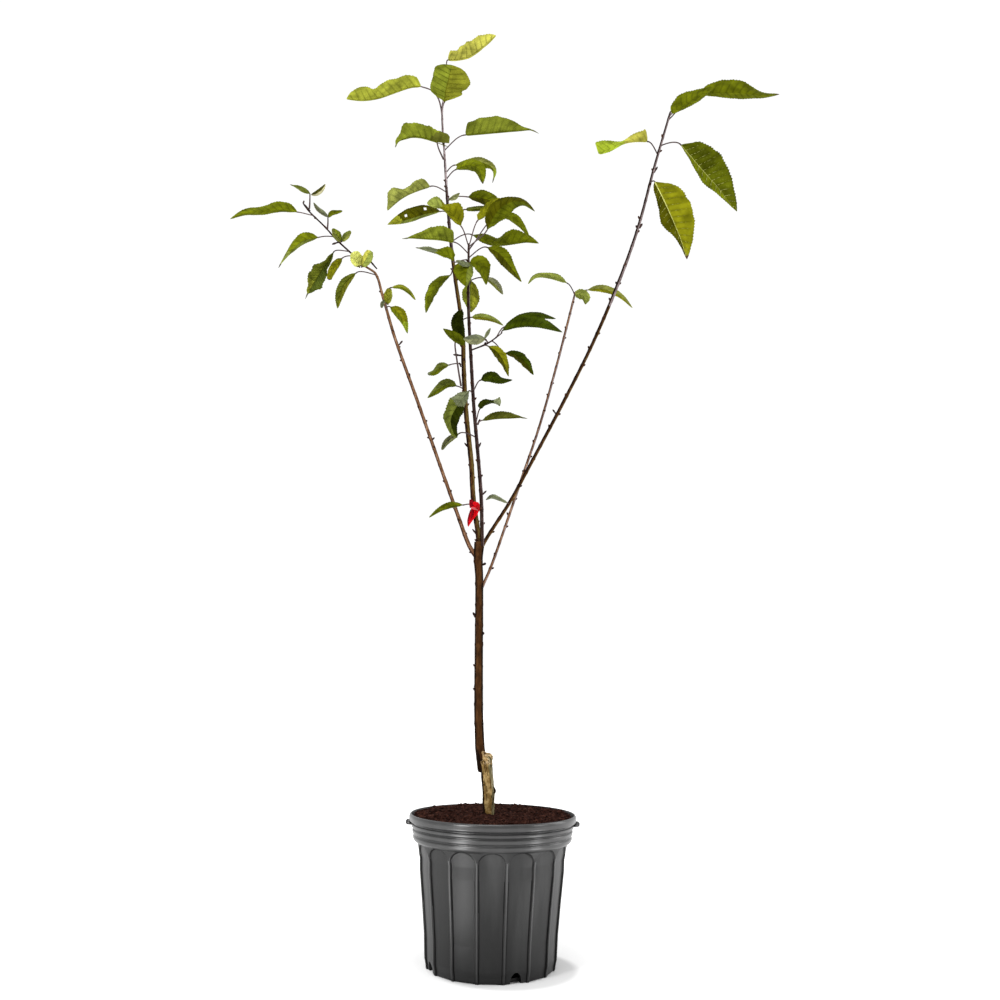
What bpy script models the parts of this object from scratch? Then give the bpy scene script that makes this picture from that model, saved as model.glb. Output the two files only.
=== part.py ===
"""Young cherry tree in a ribbed nursery pot, as separate closed solids.

Metres, +Z up.  The origin is the centre of the pot's flat underside, +X to
the viewer's right, +Y away from the viewer.
"""
import math

import bmesh
import bpy
from mathutils import Vector

# ---------------------------------------------------------------- sizes
GAP = 0.0003                 # clearance between neighbouring solids
POT_R_RIM = 0.1450           # outer radius of the rim
POT_H = 0.2500               # rim height
POT_WALL = 0.0055            # wall with its ribs
POT_FLOOR = 0.0045
FLUTES = 16                  # arched recessed panels round the wall
FLUTE_DEPTH = 0.0028
COLUMNS = 64                 # four wall columns to each panel
DRAIN_W, DRAIN_H = 0.016, 0.014
SOIL_TOP = 0.2486
TRUNK_TOP = 0.7290
STEM_R = 0.0012              # leaf stalks inside a foliage pad
PAD_H = 0.0022               # half thickness of a foliage pad at its midrib

# outer wall: height, radius, share of the panel recess
POT_WALL_STATIONS = [
    (0.0000, 0.1070, 0.0), (0.0085, 0.1100, 1.0), (0.0565, 0.1144, 1.0),
    (0.1100, 0.1193, 1.0), (0.1590, 0.1243, 1.0), (0.1790, 0.1250, 1.0),
    (0.1890, 0.1272, 0.6), (0.1990, 0.1291, 0.0), (0.2070, 0.1363, 0.0),
    (0.2215, 0.1365, 0.0), (0.2265, 0.1400, 0.0), (0.2400, 0.1450, 0.0),
    (0.2415, 0.1428, 0.0), (0.2430, 0.1450, 0.0), (0.2490, 0.1450, 0.0),
    (0.2500, 0.1440, 0.0)]

# limb courses: height, sideways place, radius; the depth is a straight law
COURSES = {
    'trunk': [(.2489, -.0083, .0105), (.2570, -.0085, .0094), (.2890, -.0092, .0116),
              (.3230, -.0152, .0110), (.3450, -.0205, .0088), (.3700, -.0259, .0079),
              (.4330, -.0288, .0077), (.5490, -.0310, .0077), (.6600, -.0327, .0078),
              (.6950, -.0336, .0083), (.7280, -.0316, .0096)],
    'leader': [(.7286, -.0360, .0047), (.7670, -.0412, .0047), (.8700, -.0495, .0047),
               (.9780, -.0623, .0046), (1.067, -.0685, .0043), (1.137, -.0722, .0040),
               (1.267, -.0924, .0035), (1.391, -.1066, .0030), (1.508, -.1163, .0022),
               (1.596, -.1234, .0020), (1.640, -.1208, .0019), (1.703, -.1175, .0016)],
    'second': [(.7286, -.0270, .0035), (.8050, -.0299, .0035), (.8930, -.0380, .0034),
               (.9680, -.0458, .0033), (1.066, -.0533, .0032), (1.167, -.0599, .0028),
               (1.285, -.0614, .0020)],
    'left': [(.6990, -.0375, .0043), (.7220, -.0516, .0040), (.7790, -.0736, .0035),
             (.8740, -.1091, .0033), (1.006, -.1575, .0033), (1.144, -.2089, .0031),
             (1.243, -.2401, .0028), (1.291, -.2564, .0024), (1.307, -.2773, .0021),
             (1.337, -.3082, .0019), (1.370, -.3417, .0018), (1.400, -.3675, .0017),
             (1.438, -.4040, .0016), (1.460, -.4196, .0014)],
    'right': [(.7120, -.0310, .0036), (.7420, -.0131, .0034), (.7990, .0229, .0032),
              (.8860, .0694, .0032), (.9870, .1218, .0032), (1.088, .1708, .0031),
              (1.204, .2183, .0031), (1.292, .2482, .0027), (1.400, .2760, .0024),
              (1.500, .3040, .0019)],
    'thin': [(.6370, -.0290, .0030), (.6750, -.0130, .0027), (.7370, .0076, .0026),
             (.8490, .0427, .0026), (.9680, .0796, .0025), (1.110, .1163, .0025),
             (1.241, .1471, .0024), (1.275, .1547, .0018)],
    'twig': [(1.080, -.0540, .0016), (1.092, -.0240, .0015), (1.112, .0050, .0012)],
}
# depth law of each limb: depth at the foot, gain, from height, over height
DEPTHS = {'trunk': (0.0, 0.0, 0.0, 1.0), 'leader': (.002, .030, .72, .98),
          'second': (-.006, -.045, .72, .57), 'left': (.004, .140, .70, .76),
          'right': (-.003, -.150, .72, .78), 'thin': (.003, .150, .64, .64),
          'twig': (-.0345, -.020, 1.08, .06), 'left2': (.113, -.010, 1.29, .05)}

# leaf blades: name, limb, height on it, stalk (mm), length, half width,
# heading and rise of the blade (degrees), roll, fold, arch, sweep (mm),
# place of its widest part, tint
LEAVES = [
    ('L1', 'left', 1.428, (-31, 5, 11), 151, 29, 169, -2, -1, 23, -2, 1, 0.28, 'green'),
    ('L2', 'left', 1.377, (-24, -10, -6), 128, 25, -136, -48, 30, 10, 9, -4, 0.38, 'green'),
    ('L3a', 'left', 1.444, (1, 0, 33), 45, 13, -146, 10, -4, 19, 2, -1, 0.50, 'olive'),
    ('L3b', 'left', 1.444, (2, -0, 33), 48, 14, 36, 45, 17, 38, -6, 2, 0.50, 'pale'),
    ('L4a', 'left', 1.395, (0, 0, 26), 38, 10, -141, 35, 1, 8, 2, -1, 0.50, 'grey'),
    ('L4b', 'left', 1.395, (1, 0, 26), 47, 11, 53, 37, -32, 19, -2, -1, 0.50, 'olive'),
    ('L5a', 'left', 1.362, (1, -8, 2), 35, 12, -117, 17, -5, 8, 0, -0, 0.50, 'olive'),
    ('L5b', 'left', 1.362, (3, -8, 1), 28, 12, -0, 53, -21, 8, 0, 0, 0.50, 'olive'),
    ('L6', 'left', 1.342, (-29, -10, -10), 132, 26, -132, -62, 64, 8, 0, -0, 0.60, 'dark'),
    ('L7', 'left', 1.331, (-15, -15, -14), 87, 19, -105, -49, 75, 8, 0, -0, 0.50, 'yellow'),
    ('L8a', 'left', 1.327, (5, -10, -23), 44, 15, -82, 23, -40, 8, 0, -0, 0.60, 'pale'),
    ('L8b', 'left2', 1.323, (-1, -8, 2), 56, 14, -113, -47, 75, 8, 0, -0, 0.50, 'pale'),
    ('L9', 'left', 1.287, (-38, -12, -2), 114, 25, -116, -58, 67, 8, 9, -5, 0.50, 'green'),
    ('L10', 'left', 1.239, (17, 8, 20), 67, 20, 49, -4, 18, 8, 10, 2, 0.45, 'olive'),
    ('L11', 'left', 1.223, (6, -12, -3), 40, 14, -72, 21, -71, 8, 0, -0, 0.50, 'yellow'),
    ('L12', 'left', 1.210, (10, -12, -7), 100, 24, -56, -44, -62, 18, 2, 1, 0.35, 'olive'),
    ('T1', 'leader', 1.701, (1, -2, 16), 143, 30, 27, 40, -14, 26, -4, -2, 0.55, 'yellow'),
    ('T2', 'leader', 1.617, (4, -10, 1), 89, 34, -81, 16, -29, 8, 0, -0, 0.55, 'olive'),
    ('T3', 'leader', 1.584, (-46, 12, 81), 159, 31, 169, -6, -8, 23, -5, 3, 0.45, 'yellow'),
    ('T4', 'leader', 1.498, (-17, -12, 29), 112, 30, -136, -26, 12, 29, 12, -7, 0.50, 'green'),
    ('T5', 'leader', 1.516, (40, 4, 38), 148, 33, -8, -3, -6, 33, 4, 3, 0.45, 'green'),
    ('T6a', 'leader', 1.452, (18, -12, 14), 109, 24, -52, -36, -30, 21, 16, 7, 0.45, 'olive'),
    ('T6b', 'leader', 1.467, (14, 10, 23), 90, 22, 30, -7, 15, 8, 25, 9, 0.50, 'olive'),
    ('T7', 'leader', 1.425, (-35, 10, 18), 108, 29, 148, -13, -15, 20, 4, -2, 0.50, 'green'),
    ('C1', 'leader', 1.381, (-21, 15, 11), 116, 29, 154, -3, -60, 11, 0, 0, 0.50, 'dark'),
    ('C2', 'second', 1.279, (-14, -6, 37), 87, 34, -138, 18, -75, 24, 0, 0, 0.30, 'yellow'),
    ('C3', 'leader', 1.404, (3, -6, -0), 30, 11, -44, 12, 11, 8, 0, 0, 0.50, 'grey'),
    ('C4', 'leader', 1.409, (43, 12, 13), 92, 26, 37, 7, -2, 8, 0, 0, 0.40, 'dark'),
    ('C5', 'second', 1.277, (33, -4, 33), 101, 29, -27, 10, 59, 8, 28, -14, 0.45, 'dark'),
    ('C5b', 'second', 1.279, (20, 10, 59), 79, 21, 44, 50, -49, 8, 0, 0, 0.50, 'yellow'),
    ('C7', 'second', 1.272, (62, 22, 78), 76, 23, 43, -14, 14, 8, 5, 3, 0.50, 'dark'),
    ('C8', 'leader', 1.366, (27, 12, 27), 58, 20, 0, 5, 13, 8, 0, 0, 0.50, 'dark'),
    ('C9', 'second', 1.264, (-28, -8, 20), 94, 30, 180, 3, 4, 25, 2, -1, 0.45, 'green'),
    ('C10', 'leader', 1.318, (42, 6, 19), 136, 31, 15, 1, 55, 8, 0, -0, 0.60, 'green'),
    ('C11', 'second', 1.256, (34, -8, 18), 121, 27, -41, -47, -36, 13, 3, 1, 0.45, 'olive'),
    ('C12', 'second', 1.250, (-26, -12, 3), 81, 25, -150, -0, -7, 8, -2, 1, 0.25, 'dark'),
    ('C13', 'second', 1.243, (8, -12, 4), 102, 29, -68, -46, -75, 19, 0, 0, 0.35, 'green'),
    ('C13b', 'second', 1.237, (-4, -12, -0), 23, 11, -139, 2, -6, 8, 0, -0, 0.50, 'grey'),
    ('C14', 'second', 1.229, (-1, -14, 4), 103, 29, -90, -43, 51, 15, -0, -0, 0.45, 'yellow'),
    ('C15', 'second', 1.210, (33, 8, 10), 57, 20, 54, -12, 23, 13, 2, 1, 0.45, 'grey'),
    ('C16', 'leader', 1.265, (-7, -6, -17), 119, 25, -126, -55, 57, 8, 9, -4, 0.50, 'olive'),
    ('C17', 'second', 1.195, (1, 12, 9), 58, 25, 86, -31, 43, 8, 0, 0, 0.55, 'brown'),
    ('C18', 'leader', 1.174, (2, -14, -3), 118, 34, -80, -53, 64, 23, -0, -0, 0.55, 'dark'),
    ('C19', 'leader', 1.156, (21, 12, 12), 74, 21, 37, 1, 10, 8, 3, 1, 0.45, 'green'),
    ('C20a', 'twig', 1.110, (4, -4, 3), 116, 31, -23, -8, -11, 26, 4, 2, 0.45, 'dark'),
    ('C20b', 'twig', 1.103, (16, 12, 24), 117, 27, 27, 19, -4, 8, 11, 3, 0.50, 'dark'),
    ('C21', 'twig', 1.092, (-6, -42, 2), 60, 18, -158, -15, 17, 8, 0, -0, 0.50, 'grey'),
    ('C22', 'twig', 1.093, (-6, 4, 12), 20, 9, 0, 67, -11, 8, 0, 0, 0.50, 'grey'),
    ('D1', 'twig', 1.089, (5, -8, -6), 94, 23, -54, -49, -57, 10, 2, 1, 0.45, 'yellow'),
    ('D2', 'twig', 1.097, (27, 10, -21), 75, 25, 45, -20, 16, 9, 3, 1, 0.45, 'dark'),
    ('D3', 'leader', 1.066, (-27, -6, -1), 71, 20, -126, -30, 40, 8, 0, -0, 0.45, 'olive'),
    ('D4', 'second', 1.002, (16, 10, 24), 79, 24, 41, 14, -12, 8, 4, 2, 0.40, 'dark'),
    ('D5', 'leader', 1.017, (-15, -6, 7), 80, 24, -134, -29, 25, 8, 5, -2, 0.40, 'green'),
    ('D6', 'second', 0.997, (-10, -10, -6), 113, 30, -109, -56, 32, 8, -8, -4, 0.55, 'dark'),
    ('D7', 'second', 0.916, (-31, 10, 5), 67, 19, 175, -38, 49, 9, 2, -1, 0.45, 'grey'),
    ('D8', 'second', 0.940, (8, -8, 27), 60, 19, -50, 9, 6, 8, 0, 0, 0.40, 'dark'),
    ('D9', 'second', 0.938, (12, -6, 9), 89, 25, -23, -2, 0, 11, 3, 1, 0.50, 'green'),
    ('D10', 'right', 0.795, (-5, -6, 1), 49, 14, 142, 10, 8, 8, 8, -2, 0.45, 'olive'),
    ('D11', 'leader', 0.793, (-19, -18, -2), 75, 21, -150, -22, 14, 8, 9, -2, 0.40, 'olive'),
    ('R1a', 'right', 1.488, (6, -8, 2), 88, 27, -40, 14, 8, 16, 0, 0, 0.35, 'olive'),
    ('R1b', 'right', 1.483, (61, 10, 58), 144, 35, 0, 1, 4, 16, 0, 0, 0.45, 'green'),
    ('R2', 'right', 1.421, (-19, -8, 22), 119, 30, -150, -23, 6, 11, 0, -0, 0.45, 'yellow'),
    ('R3', 'right', 1.437, (35, -8, -2), 166, 39, -12, -55, -30, 27, 1, 1, 0.42, 'under'),
    ('R4', 'right', 1.371, (4, -12, -4), 179, 36, -43, -69, -69, 8, 5, 6, 0.50, 'bright'),
    ('S1', 'thin', 1.268, (-17, 4, 27), 88, 23, 153, 9, -7, 8, 16, -4, 0.50, 'green'),
    ('S2', 'thin', 1.261, (4, -8, 2), 65, 18, -76, -38, -75, 8, 0, 0, 0.50, 'olive'),
    ('S3', 'thin', 1.264, (25, 6, 14), 105, 25, 17, -13, 12, 8, 16, 5, 0.40, 'olive'),
]
# blades too small or too close to another one for a solid of their own
TOO_SMALL = ('C3', 'C13b', 'C22', 'L8b', 'D10', 'L11', 'L3a', 'L4a', 'L5a', 'L7', 'T6b', 'C14', 'D2', 'D8', 'R1a', 'S1', 'C8', 'C7')

TINTS = {'green': (.12, .145, .015), 'olive': (.155, .165, .015), 'pale': (.36, .36, .10),
         'grey': (.115, .130, .060), 'dark': (.060, .070, .005), 'yellow': (.28, .27, .04),
         'brown': (.090, .070, .010), 'under': (.150, .155, .015), 'bright': (.20, .235, .02)}


# ---------------------------------------------------------------- helpers
def collection(name):
    col = bpy.data.collections.new(name)
    bpy.context.scene.collection.children.link(col)
    return col


def material(name, colour, rough, metal=0.0):
    mat = bpy.data.materials.new(name)
    mat.use_nodes = True
    node = mat.node_tree.nodes['Principled BSDF']
    node.inputs['Base Color'].default_value = (*colour, 1.0)
    node.inputs['Roughness'].default_value = rough
    node.inputs['Metallic'].default_value = metal
    return mat


def new_object(name, bm, mat, col, smooth=True):
    mesh = bpy.data.meshes.new(name)
    bmesh.ops.recalc_face_normals(bm, faces=bm.faces)
    if bm.calc_volume(signed=True) < 0:
        bmesh.ops.reverse_faces(bm, faces=bm.faces)
    bm.to_mesh(mesh)
    bm.free()
    if smooth:
        mesh.shade_smooth()
        mesh.set_sharp_from_angle(angle=math.radians(35))
    if mat:
        mesh.materials.append(mat)
    obj = bpy.data.objects.new(name, mesh)
    col.objects.link(obj)
    return obj


def loft(rings, first=None, last=None):
    """Skin over rings of equal count, closed by a fan or a flat cap."""
    bm = bmesh.new()
    rows = [[bm.verts.new(p) for p in ring] for ring in rings]
    n = len(rows[0])
    for a, b in zip(rows, rows[1:]):
        for i in range(n):
            j = (i + 1) % n
            bm.faces.new((a[i], a[j], b[j], b[i]))
    for row, tip in ((rows[0], first), (rows[-1], last)):
        if tip is None:
            bm.faces.new(row)
        else:
            v = bm.verts.new(tip)
            for i in range(n):
                bm.faces.new((row[i], row[(i + 1) % n], v))
    bmesh.ops.triangulate(bm, faces=bm.faces)
    return bm


def hermite(keys, z, k):
    """Smooth course through the keys, read at height z."""
    n = len(keys)
    i = 0
    while i < n - 2 and z > keys[i + 1][0]:
        i += 1

    def slope(j):
        a, b = max(j - 1, 0), min(j + 1, n - 1)
        return (keys[b][k] - keys[a][k]) / (keys[b][0] - keys[a][0])
    z0, z1 = keys[i][0], keys[i + 1][0]
    h = z1 - z0
    t = min(max((z - z0) / h, 0.0), 1.0)
    a, b = keys[i][k], keys[i + 1][k]
    return (a * (2 * t**3 - 3 * t**2 + 1) + b * (3 * t**2 - 2 * t**3)
            + h * slope(i) * (t**3 - 2 * t**2 + t) + h * slope(i + 1) * (t**3 - t**2))


def depth(limb, z):
    foot, gain, start, over = DEPTHS[limb]
    return foot + gain * max(0.0, (z - start) / over)


def centre(limb, z):
    if limb == 'left2':
        return Vector((-.2625 - 0.9 * (z - 1.31), depth(limb, z), z))
    return Vector((hermite(COURSES[limb], z, 1), depth(limb, z), z))


def radius(limb, z):
    return .0015 if limb == 'left2' else hermite(COURSES[limb], z, 2)


def tube(name, limb, z0, z1, count, sides, mat, col, grow=0.0, lead=None):
    """A tapering limb as a bevelled curve, made a mesh with welded caps."""
    curve = bpy.data.curves.new(name, 'CURVE')
    curve.dimensions = '3D'
    curve.bevel_depth = 1.0
    curve.bevel_resolution = {4: 0, 6: 1, 8: 2}[sides]
    curve.use_fill_caps = True
    spline = curve.splines.new('POLY')
    heights = [z0 + (z1 - z0) * i / (count - 1) for i in range(count)]
    pts = [(centre(limb, z), radius(limb, z) + grow) for z in heights]
    if lead:
        step = (centre(limb, z0) - centre(limb, z0 - .01)).normalized()
        first = centre(limb, z0)
        pts = [(first + step * .0004, radius(limb, z0)), (first + step * .004, radius(limb, z0))] + pts[1:]
    spline.points.add(len(pts) - 1)
    for point, (p, r) in zip(spline.points, pts):
        point.co = (*p, 1.0)
        point.radius = r
    temp = bpy.data.objects.new(name + '_guide', curve)
    col.objects.link(temp)
    bpy.context.view_layer.update()
    graph = bpy.context.evaluated_depsgraph_get()
    mesh = bpy.data.meshes.new_from_object(temp.evaluated_get(graph))
    bm = bmesh.new()
    bm.from_mesh(mesh)
    bmesh.ops.remove_doubles(bm, verts=bm.verts, dist=0.00002)
    matrix = temp.matrix_world.copy()
    bpy.data.objects.remove(temp)
    bpy.data.meshes.remove(mesh)
    bmesh.ops.triangulate(bm, faces=bm.faces)
    obj = new_object(name, bm, mat, col)
    obj.matrix_world = matrix
    return obj


def cutter(obj):
    obj.hide_render = True
    obj.display_type = 'WIRE'
    return obj


def cut(obj, tool, operation='DIFFERENCE'):
    mod = obj.modifiers.new('cut', 'BOOLEAN')
    mod.operation = operation
    mod.solver = 'EXACT'
    mod.object = tool


# ---------------------------------------------------------------- pot and soil
def build_pot(col, tools):
    mat = material('pot_plastic', (.035, .036, .038), .45)
    rings = []
    for z, r, share in POT_WALL_STATIONS:
        ring = []
        for k in range(COLUMNS):
            a = 2 * math.pi * (k - 2) / COLUMNS - math.pi / 2
            rr = r - (FLUTE_DEPTH * share if k % 4 else 0.0)
            ring.append(Vector((rr * math.cos(a), rr * math.sin(a), z)))
        rings.append(ring)
    inner = [(.2500, .1424), (.2430, .1395), (.2250, .1335), (.2080, .1305), (.1960, .1232),
             (.1590, .1188), (.0850, .1115), (POT_FLOOR, .1030)]
    for z, r in inner:
        rings.append([Vector((r * math.cos(2 * math.pi * (k - 2) / COLUMNS - math.pi / 2),
                              r * math.sin(2 * math.pi * (k - 2) / COLUMNS - math.pi / 2), z))
                      for k in range(COLUMNS)])
    pot = new_object('pot', loft(rings, Vector((0, 0, 0)), Vector((0, 0, POT_FLOOR))), mat, col)
    for i in range(4):
        a = math.radians(22.5 + 90 * i)
        bm = bmesh.new()
        bmesh.ops.create_cube(bm, size=1.0)
        bmesh.ops.scale(bm, vec=(.022, DRAIN_W, DRAIN_H + .01), verts=bm.verts)
        hole = cutter(new_object('drain_cutter_%d' % i, bm, None, tools, False))
        hole.location = (.1095 * math.cos(a), .1095 * math.sin(a), DRAIN_H / 2 - .005)
        hole.rotation_euler = (0, 0, a)
        cut(pot, hole)
    for side in (-1, 1):
        bm = bmesh.new()
        bmesh.ops.create_cube(bm, size=1.0)
        bmesh.ops.scale(bm, vec=(.012, .011, .012), verts=bm.verts)
        ear = cutter(new_object('lug_shape_%s' % ('left' if side < 0 else 'right'), bm, None, tools, False))
        ear.location = (side * .1449, 0, .2335)
        cut(pot, ear, 'UNION')
    return pot


def build_soil(col):
    mat = material('bark_mix', (.055, .028, .020), .95)
    n = 32
    rows = [(.1022, POT_FLOOR + GAP), (.1105, .0850), (.1178, .1590), (.1222, .1960), (.1292, .2080),
            (.1322, .2250), (.1372, .2400), (.1350, .2462), (.0950, .2484), (.0600, .2490),
            (.0300, SOIL_TOP)]
    rings = []
    for j, (r, z) in enumerate(rows):
        ring = []
        for k in range(n):
            a = 2 * math.pi * k / n
            lift = .0014 * math.sin(3 * a + j) + .0012 * math.sin(a) if 7 <= j <= 9 else 0.0
            ring.append(Vector((r * math.cos(a), r * math.sin(a), z + lift)))
        rings.append(ring)
    return new_object('potting_soil', loft(rings, Vector((0, 0, POT_FLOOR + GAP)),
                                           Vector((0, 0, SOIL_TOP))), mat, col)


# ---------------------------------------------------------------- limbs
def build_limbs(col, tools):
    bark = material('bark', (.105, .058, .034), .7)
    twig = material('young_bark', (.170, .092, .058), .6)
    tube('trunk', 'trunk', .2489, TRUNK_TOP, 22, 8, bark, col)
    tube('leader', 'leader', .7308, 1.703, 24, 8, bark, col)
    tube('second_leader', 'second', .7308, 1.285, 14, 6, bark, col)
    big = {'trunk': cutter(tube('trunk_cutter', 'trunk', .55, TRUNK_TOP + .0003, 9, 8, None, tools, GAP + .0002)),
           'second': cutter(tube('second_cutter', 'second', .7283, 1.2, 12, 6, None, tools, GAP + .0003)),
           'leader': cutter(tube('leader_cutter', 'leader', .7283, 1.2, 12, 8, None, tools, GAP + .0003))}
    a = tube('left_bough', 'left', .699, 1.291, 16, 6, bark, col)
    cut(a, big['trunk'])
    cut(a, big['leader'])
    tube('left_bough_tip', 'left', 1.291, 1.460, 9, 6, twig, col, lead=True)
    a = tube('right_bough', 'right', .712, 1.500, 18, 6, bark, col)
    cut(a, big['trunk'])
    cut(a, big['second'])
    a = tube('thin_bough', 'thin', .637, 1.275, 14, 6, twig, col)
    cut(a, big['trunk'])
    a = tube('side_twig', 'twig', 1.080, 1.106, 6, 6, twig, col)
    cut(a, big['second'])


def build_ribbon(col):
    """Flat ribbon tied round the leader above the fork."""
    mat = material('red_ribbon', (.70, .012, .022), .5)
    mid = .795
    rows = []
    for r, dz in ((.0008, -.006), (.0018, -.006), (.0018, .006), (.0008, .006)):
        ring = []
        for k in range(12):
            a = 2 * math.pi * k / 12
            rr = radius('leader', mid) + r
            ring.append(centre('leader', mid + dz) + Vector((rr * math.cos(a), rr * math.sin(a), 0)))
        rows.append(ring)
    bm = bmesh.new()
    verts = [[bm.verts.new(p) for p in ring] for ring in rows]
    for i in range(4):
        a, b = verts[i], verts[(i + 1) % 4]
        for k in range(12):
            j = (k + 1) % 12
            bm.faces.new((a[k], a[j], b[j], b[k]))
    bmesh.ops.triangulate(bm, faces=bm.faces)
    new_object('marker_ribbon', bm, mat, col)


# ---------------------------------------------------------------- foliage
def direction(heading, rise):
    h, r = math.radians(heading), math.radians(rise)
    return Vector((math.cos(h) * math.cos(r), math.sin(h) * math.cos(r), math.sin(r)))


def half_width(t, belly):
    a = .62
    b = a * (1 - belly) / belly
    return (t**a) * ((1 - t)**b) / ((belly**a) * ((1 - belly)**b))


def blade_frame(leaf):
    """Along, right edge, left edge and normal directions of one blade."""
    c = direction(leaf[6], leaf[7])
    side = Vector((c.y, -c.x, 0)).normalized()
    up = side.cross(c)
    roll, fold = math.radians(leaf[8]), math.radians(leaf[9])
    tr, tl = fold - roll, fold + roll
    right = side * math.cos(tr) + up * math.sin(tr)
    left = -side * math.cos(tl) + up * math.sin(tl)
    normal = (right - left).cross(c).normalized()
    return c, right, left, normal, (right - left).normalized()


def blade_sections(leaf, base):
    """Four-cornered sections of a thin folded pad from its base to its tip."""
    length, wide, arch, sweep, belly = (leaf[4] / 1000, leaf[5] / 1000, leaf[10] / 1000,
                                        leaf[11] / 1000, leaf[12])
    c, right, left, normal, lateral = blade_frame(leaf)
    out = []
    for t in (.03, .16, .36, .58, .80, 1.0):
        w = max(wide * half_width(min(t, .985), belly), .0012)
        h = PAD_H * (1 - .6 * t)
        p = base + c * length * t + (normal * arch + lateral * sweep) * 4 * t * (1 - t)
        out.append([p + right * w, p + normal * h, p + left * w, p - normal * h])
    return out


def stalk_section(p, along, normal):
    along = along.normalized()
    lateral = along.cross(normal)
    if lateral.length < .2:
        lateral = along.cross(Vector((1, 0, 0)))
    lateral.normalize()
    nn = lateral.cross(along).normalized()
    return [p + lateral * STEM_R, p + nn * STEM_R, p - lateral * STEM_R, p - nn * STEM_R]


def anchor(leaf, clear=.0009):
    """Limb centre, and the point just off its side that faces the blade."""
    z = leaf[2]
    mid = centre(leaf[1], z)
    tangent = (centre(leaf[1], z + .01) - centre(leaf[1], z - .01)).normalized()
    stalk = Vector(leaf[3]) / 1000
    away = stalk + direction(leaf[6], leaf[7]) * .004
    away -= tangent * away.dot(tangent)
    away.normalize()
    return mid, away, mid + away * (radius(leaf[1], z) + STEM_R + clear), stalk


def build_foliage(col):
    table = {leaf[0]: leaf for leaf in LEAVES}
    mats = {k: material('leaf_' + k, v, .5) for k, v in TINTS.items()}
    for name, leaf in table.items():
        if name in TOO_SMALL:
            continue
        mid, away, start, stalk = anchor(leaf)
        base = mid + stalk
        normal = blade_frame(leaf)[3]
        sections = blade_sections(leaf, base)
        rings = []
        if (base - start).length > .004:
            rings.append(stalk_section(start, base - start, normal))
            rings.append(stalk_section(start.lerp(base, .85), base - start, normal))
        rings += sections
        new_object('foliage_' + name, loft(rings), mats[leaf[13]], col, False)


def main():
    for obj in list(bpy.data.objects):
        bpy.data.objects.remove(obj, do_unlink=True)
    col = collection('potted_cherry_tree')
    tools = collection('cutters')
    build_pot(col, tools)
    build_soil(col)
    build_limbs(col, tools)
    build_ribbon(col)
    build_foliage(col)


main()
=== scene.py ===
import math
import random
import bpy
import bmesh
import numpy as np
from mathutils import Vector, Matrix, noise


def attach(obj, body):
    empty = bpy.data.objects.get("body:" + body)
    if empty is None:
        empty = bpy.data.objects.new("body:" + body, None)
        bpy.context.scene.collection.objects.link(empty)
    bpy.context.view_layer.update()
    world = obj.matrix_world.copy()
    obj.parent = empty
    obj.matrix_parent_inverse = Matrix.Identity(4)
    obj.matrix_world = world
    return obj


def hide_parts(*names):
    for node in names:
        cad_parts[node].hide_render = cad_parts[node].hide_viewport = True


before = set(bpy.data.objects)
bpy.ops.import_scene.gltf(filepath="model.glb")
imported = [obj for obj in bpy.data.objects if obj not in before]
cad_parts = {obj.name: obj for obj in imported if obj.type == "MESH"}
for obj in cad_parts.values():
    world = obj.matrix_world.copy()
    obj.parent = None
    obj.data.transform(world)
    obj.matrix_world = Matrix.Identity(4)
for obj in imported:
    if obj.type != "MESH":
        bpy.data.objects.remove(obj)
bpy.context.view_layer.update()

SEED = 11
POT_R_RIM, POT_H = 0.1450, 0.2500
STEM_R = 0.0010

# limb courses: height, sideways place, radius; the depth is a straight law
COURSES = {
    'trunk': [(.2489, -.0083, .0105), (.2570, -.0085, .0094), (.2890, -.0092, .0116),
              (.3230, -.0152, .0110), (.3450, -.0205, .0088), (.3700, -.0259, .0079),
              (.4330, -.0288, .0077), (.5490, -.0310, .0077), (.6600, -.0327, .0078),
              (.6950, -.0336, .0083), (.7280, -.0316, .0096)],
    'leader': [(.7286, -.0333, .0049), (.7450, -.0353, .0048), (.7670, -.0388, .0047), (.8100, -.0452, .0047), (.8700, -.0495, .0047),
               (.9780, -.0623, .0046), (1.067, -.0685, .0043), (1.137, -.0722, .0040),
               (1.267, -.0924, .0035), (1.391, -.1066, .0030), (1.508, -.1163, .0022),
               (1.596, -.1234, .0020), (1.640, -.1208, .0019), (1.703, -.1175, .0016)],
    'second': [(.7286, -.0270, .0035), (.8050, -.0299, .0035), (.8930, -.0380, .0034),
               (.9680, -.0458, .0033), (1.066, -.0533, .0032), (1.167, -.0599, .0028),
               (1.285, -.0614, .0020)],
    'left': [(.6990, -.0375, .0043), (.7220, -.0516, .0040), (.7790, -.0736, .0035),
             (.8740, -.1091, .0033), (1.006, -.1575, .0033), (1.144, -.2089, .0031),
             (1.243, -.2401, .0028), (1.291, -.2564, .0024), (1.307, -.2773, .0021),
             (1.337, -.3082, .0019), (1.370, -.3417, .0018), (1.400, -.3675, .0017),
             (1.438, -.4040, .0016), (1.460, -.4196, .0014)],
    'right': [(.7120, -.0310, .0036), (.7420, -.0131, .0034), (.7990, .0229, .0032),
              (.8860, .0694, .0032), (.9870, .1218, .0032), (1.088, .1708, .0031),
              (1.204, .2183, .0031), (1.292, .2482, .0027), (1.400, .2760, .0024),
              (1.500, .3040, .0019)],
    'thin': [(.6370, -.0290, .0030), (.6750, -.0130, .0027), (.7370, .0076, .0026),
             (.8490, .0427, .0026), (.9680, .0796, .0025), (1.110, .1163, .0025),
             (1.241, .1471, .0024), (1.275, .1547, .0018)],
    'twig': [(1.080, -.0540, .0016), (1.092, -.0240, .0015), (1.112, .0050, .0012)],
}
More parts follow.
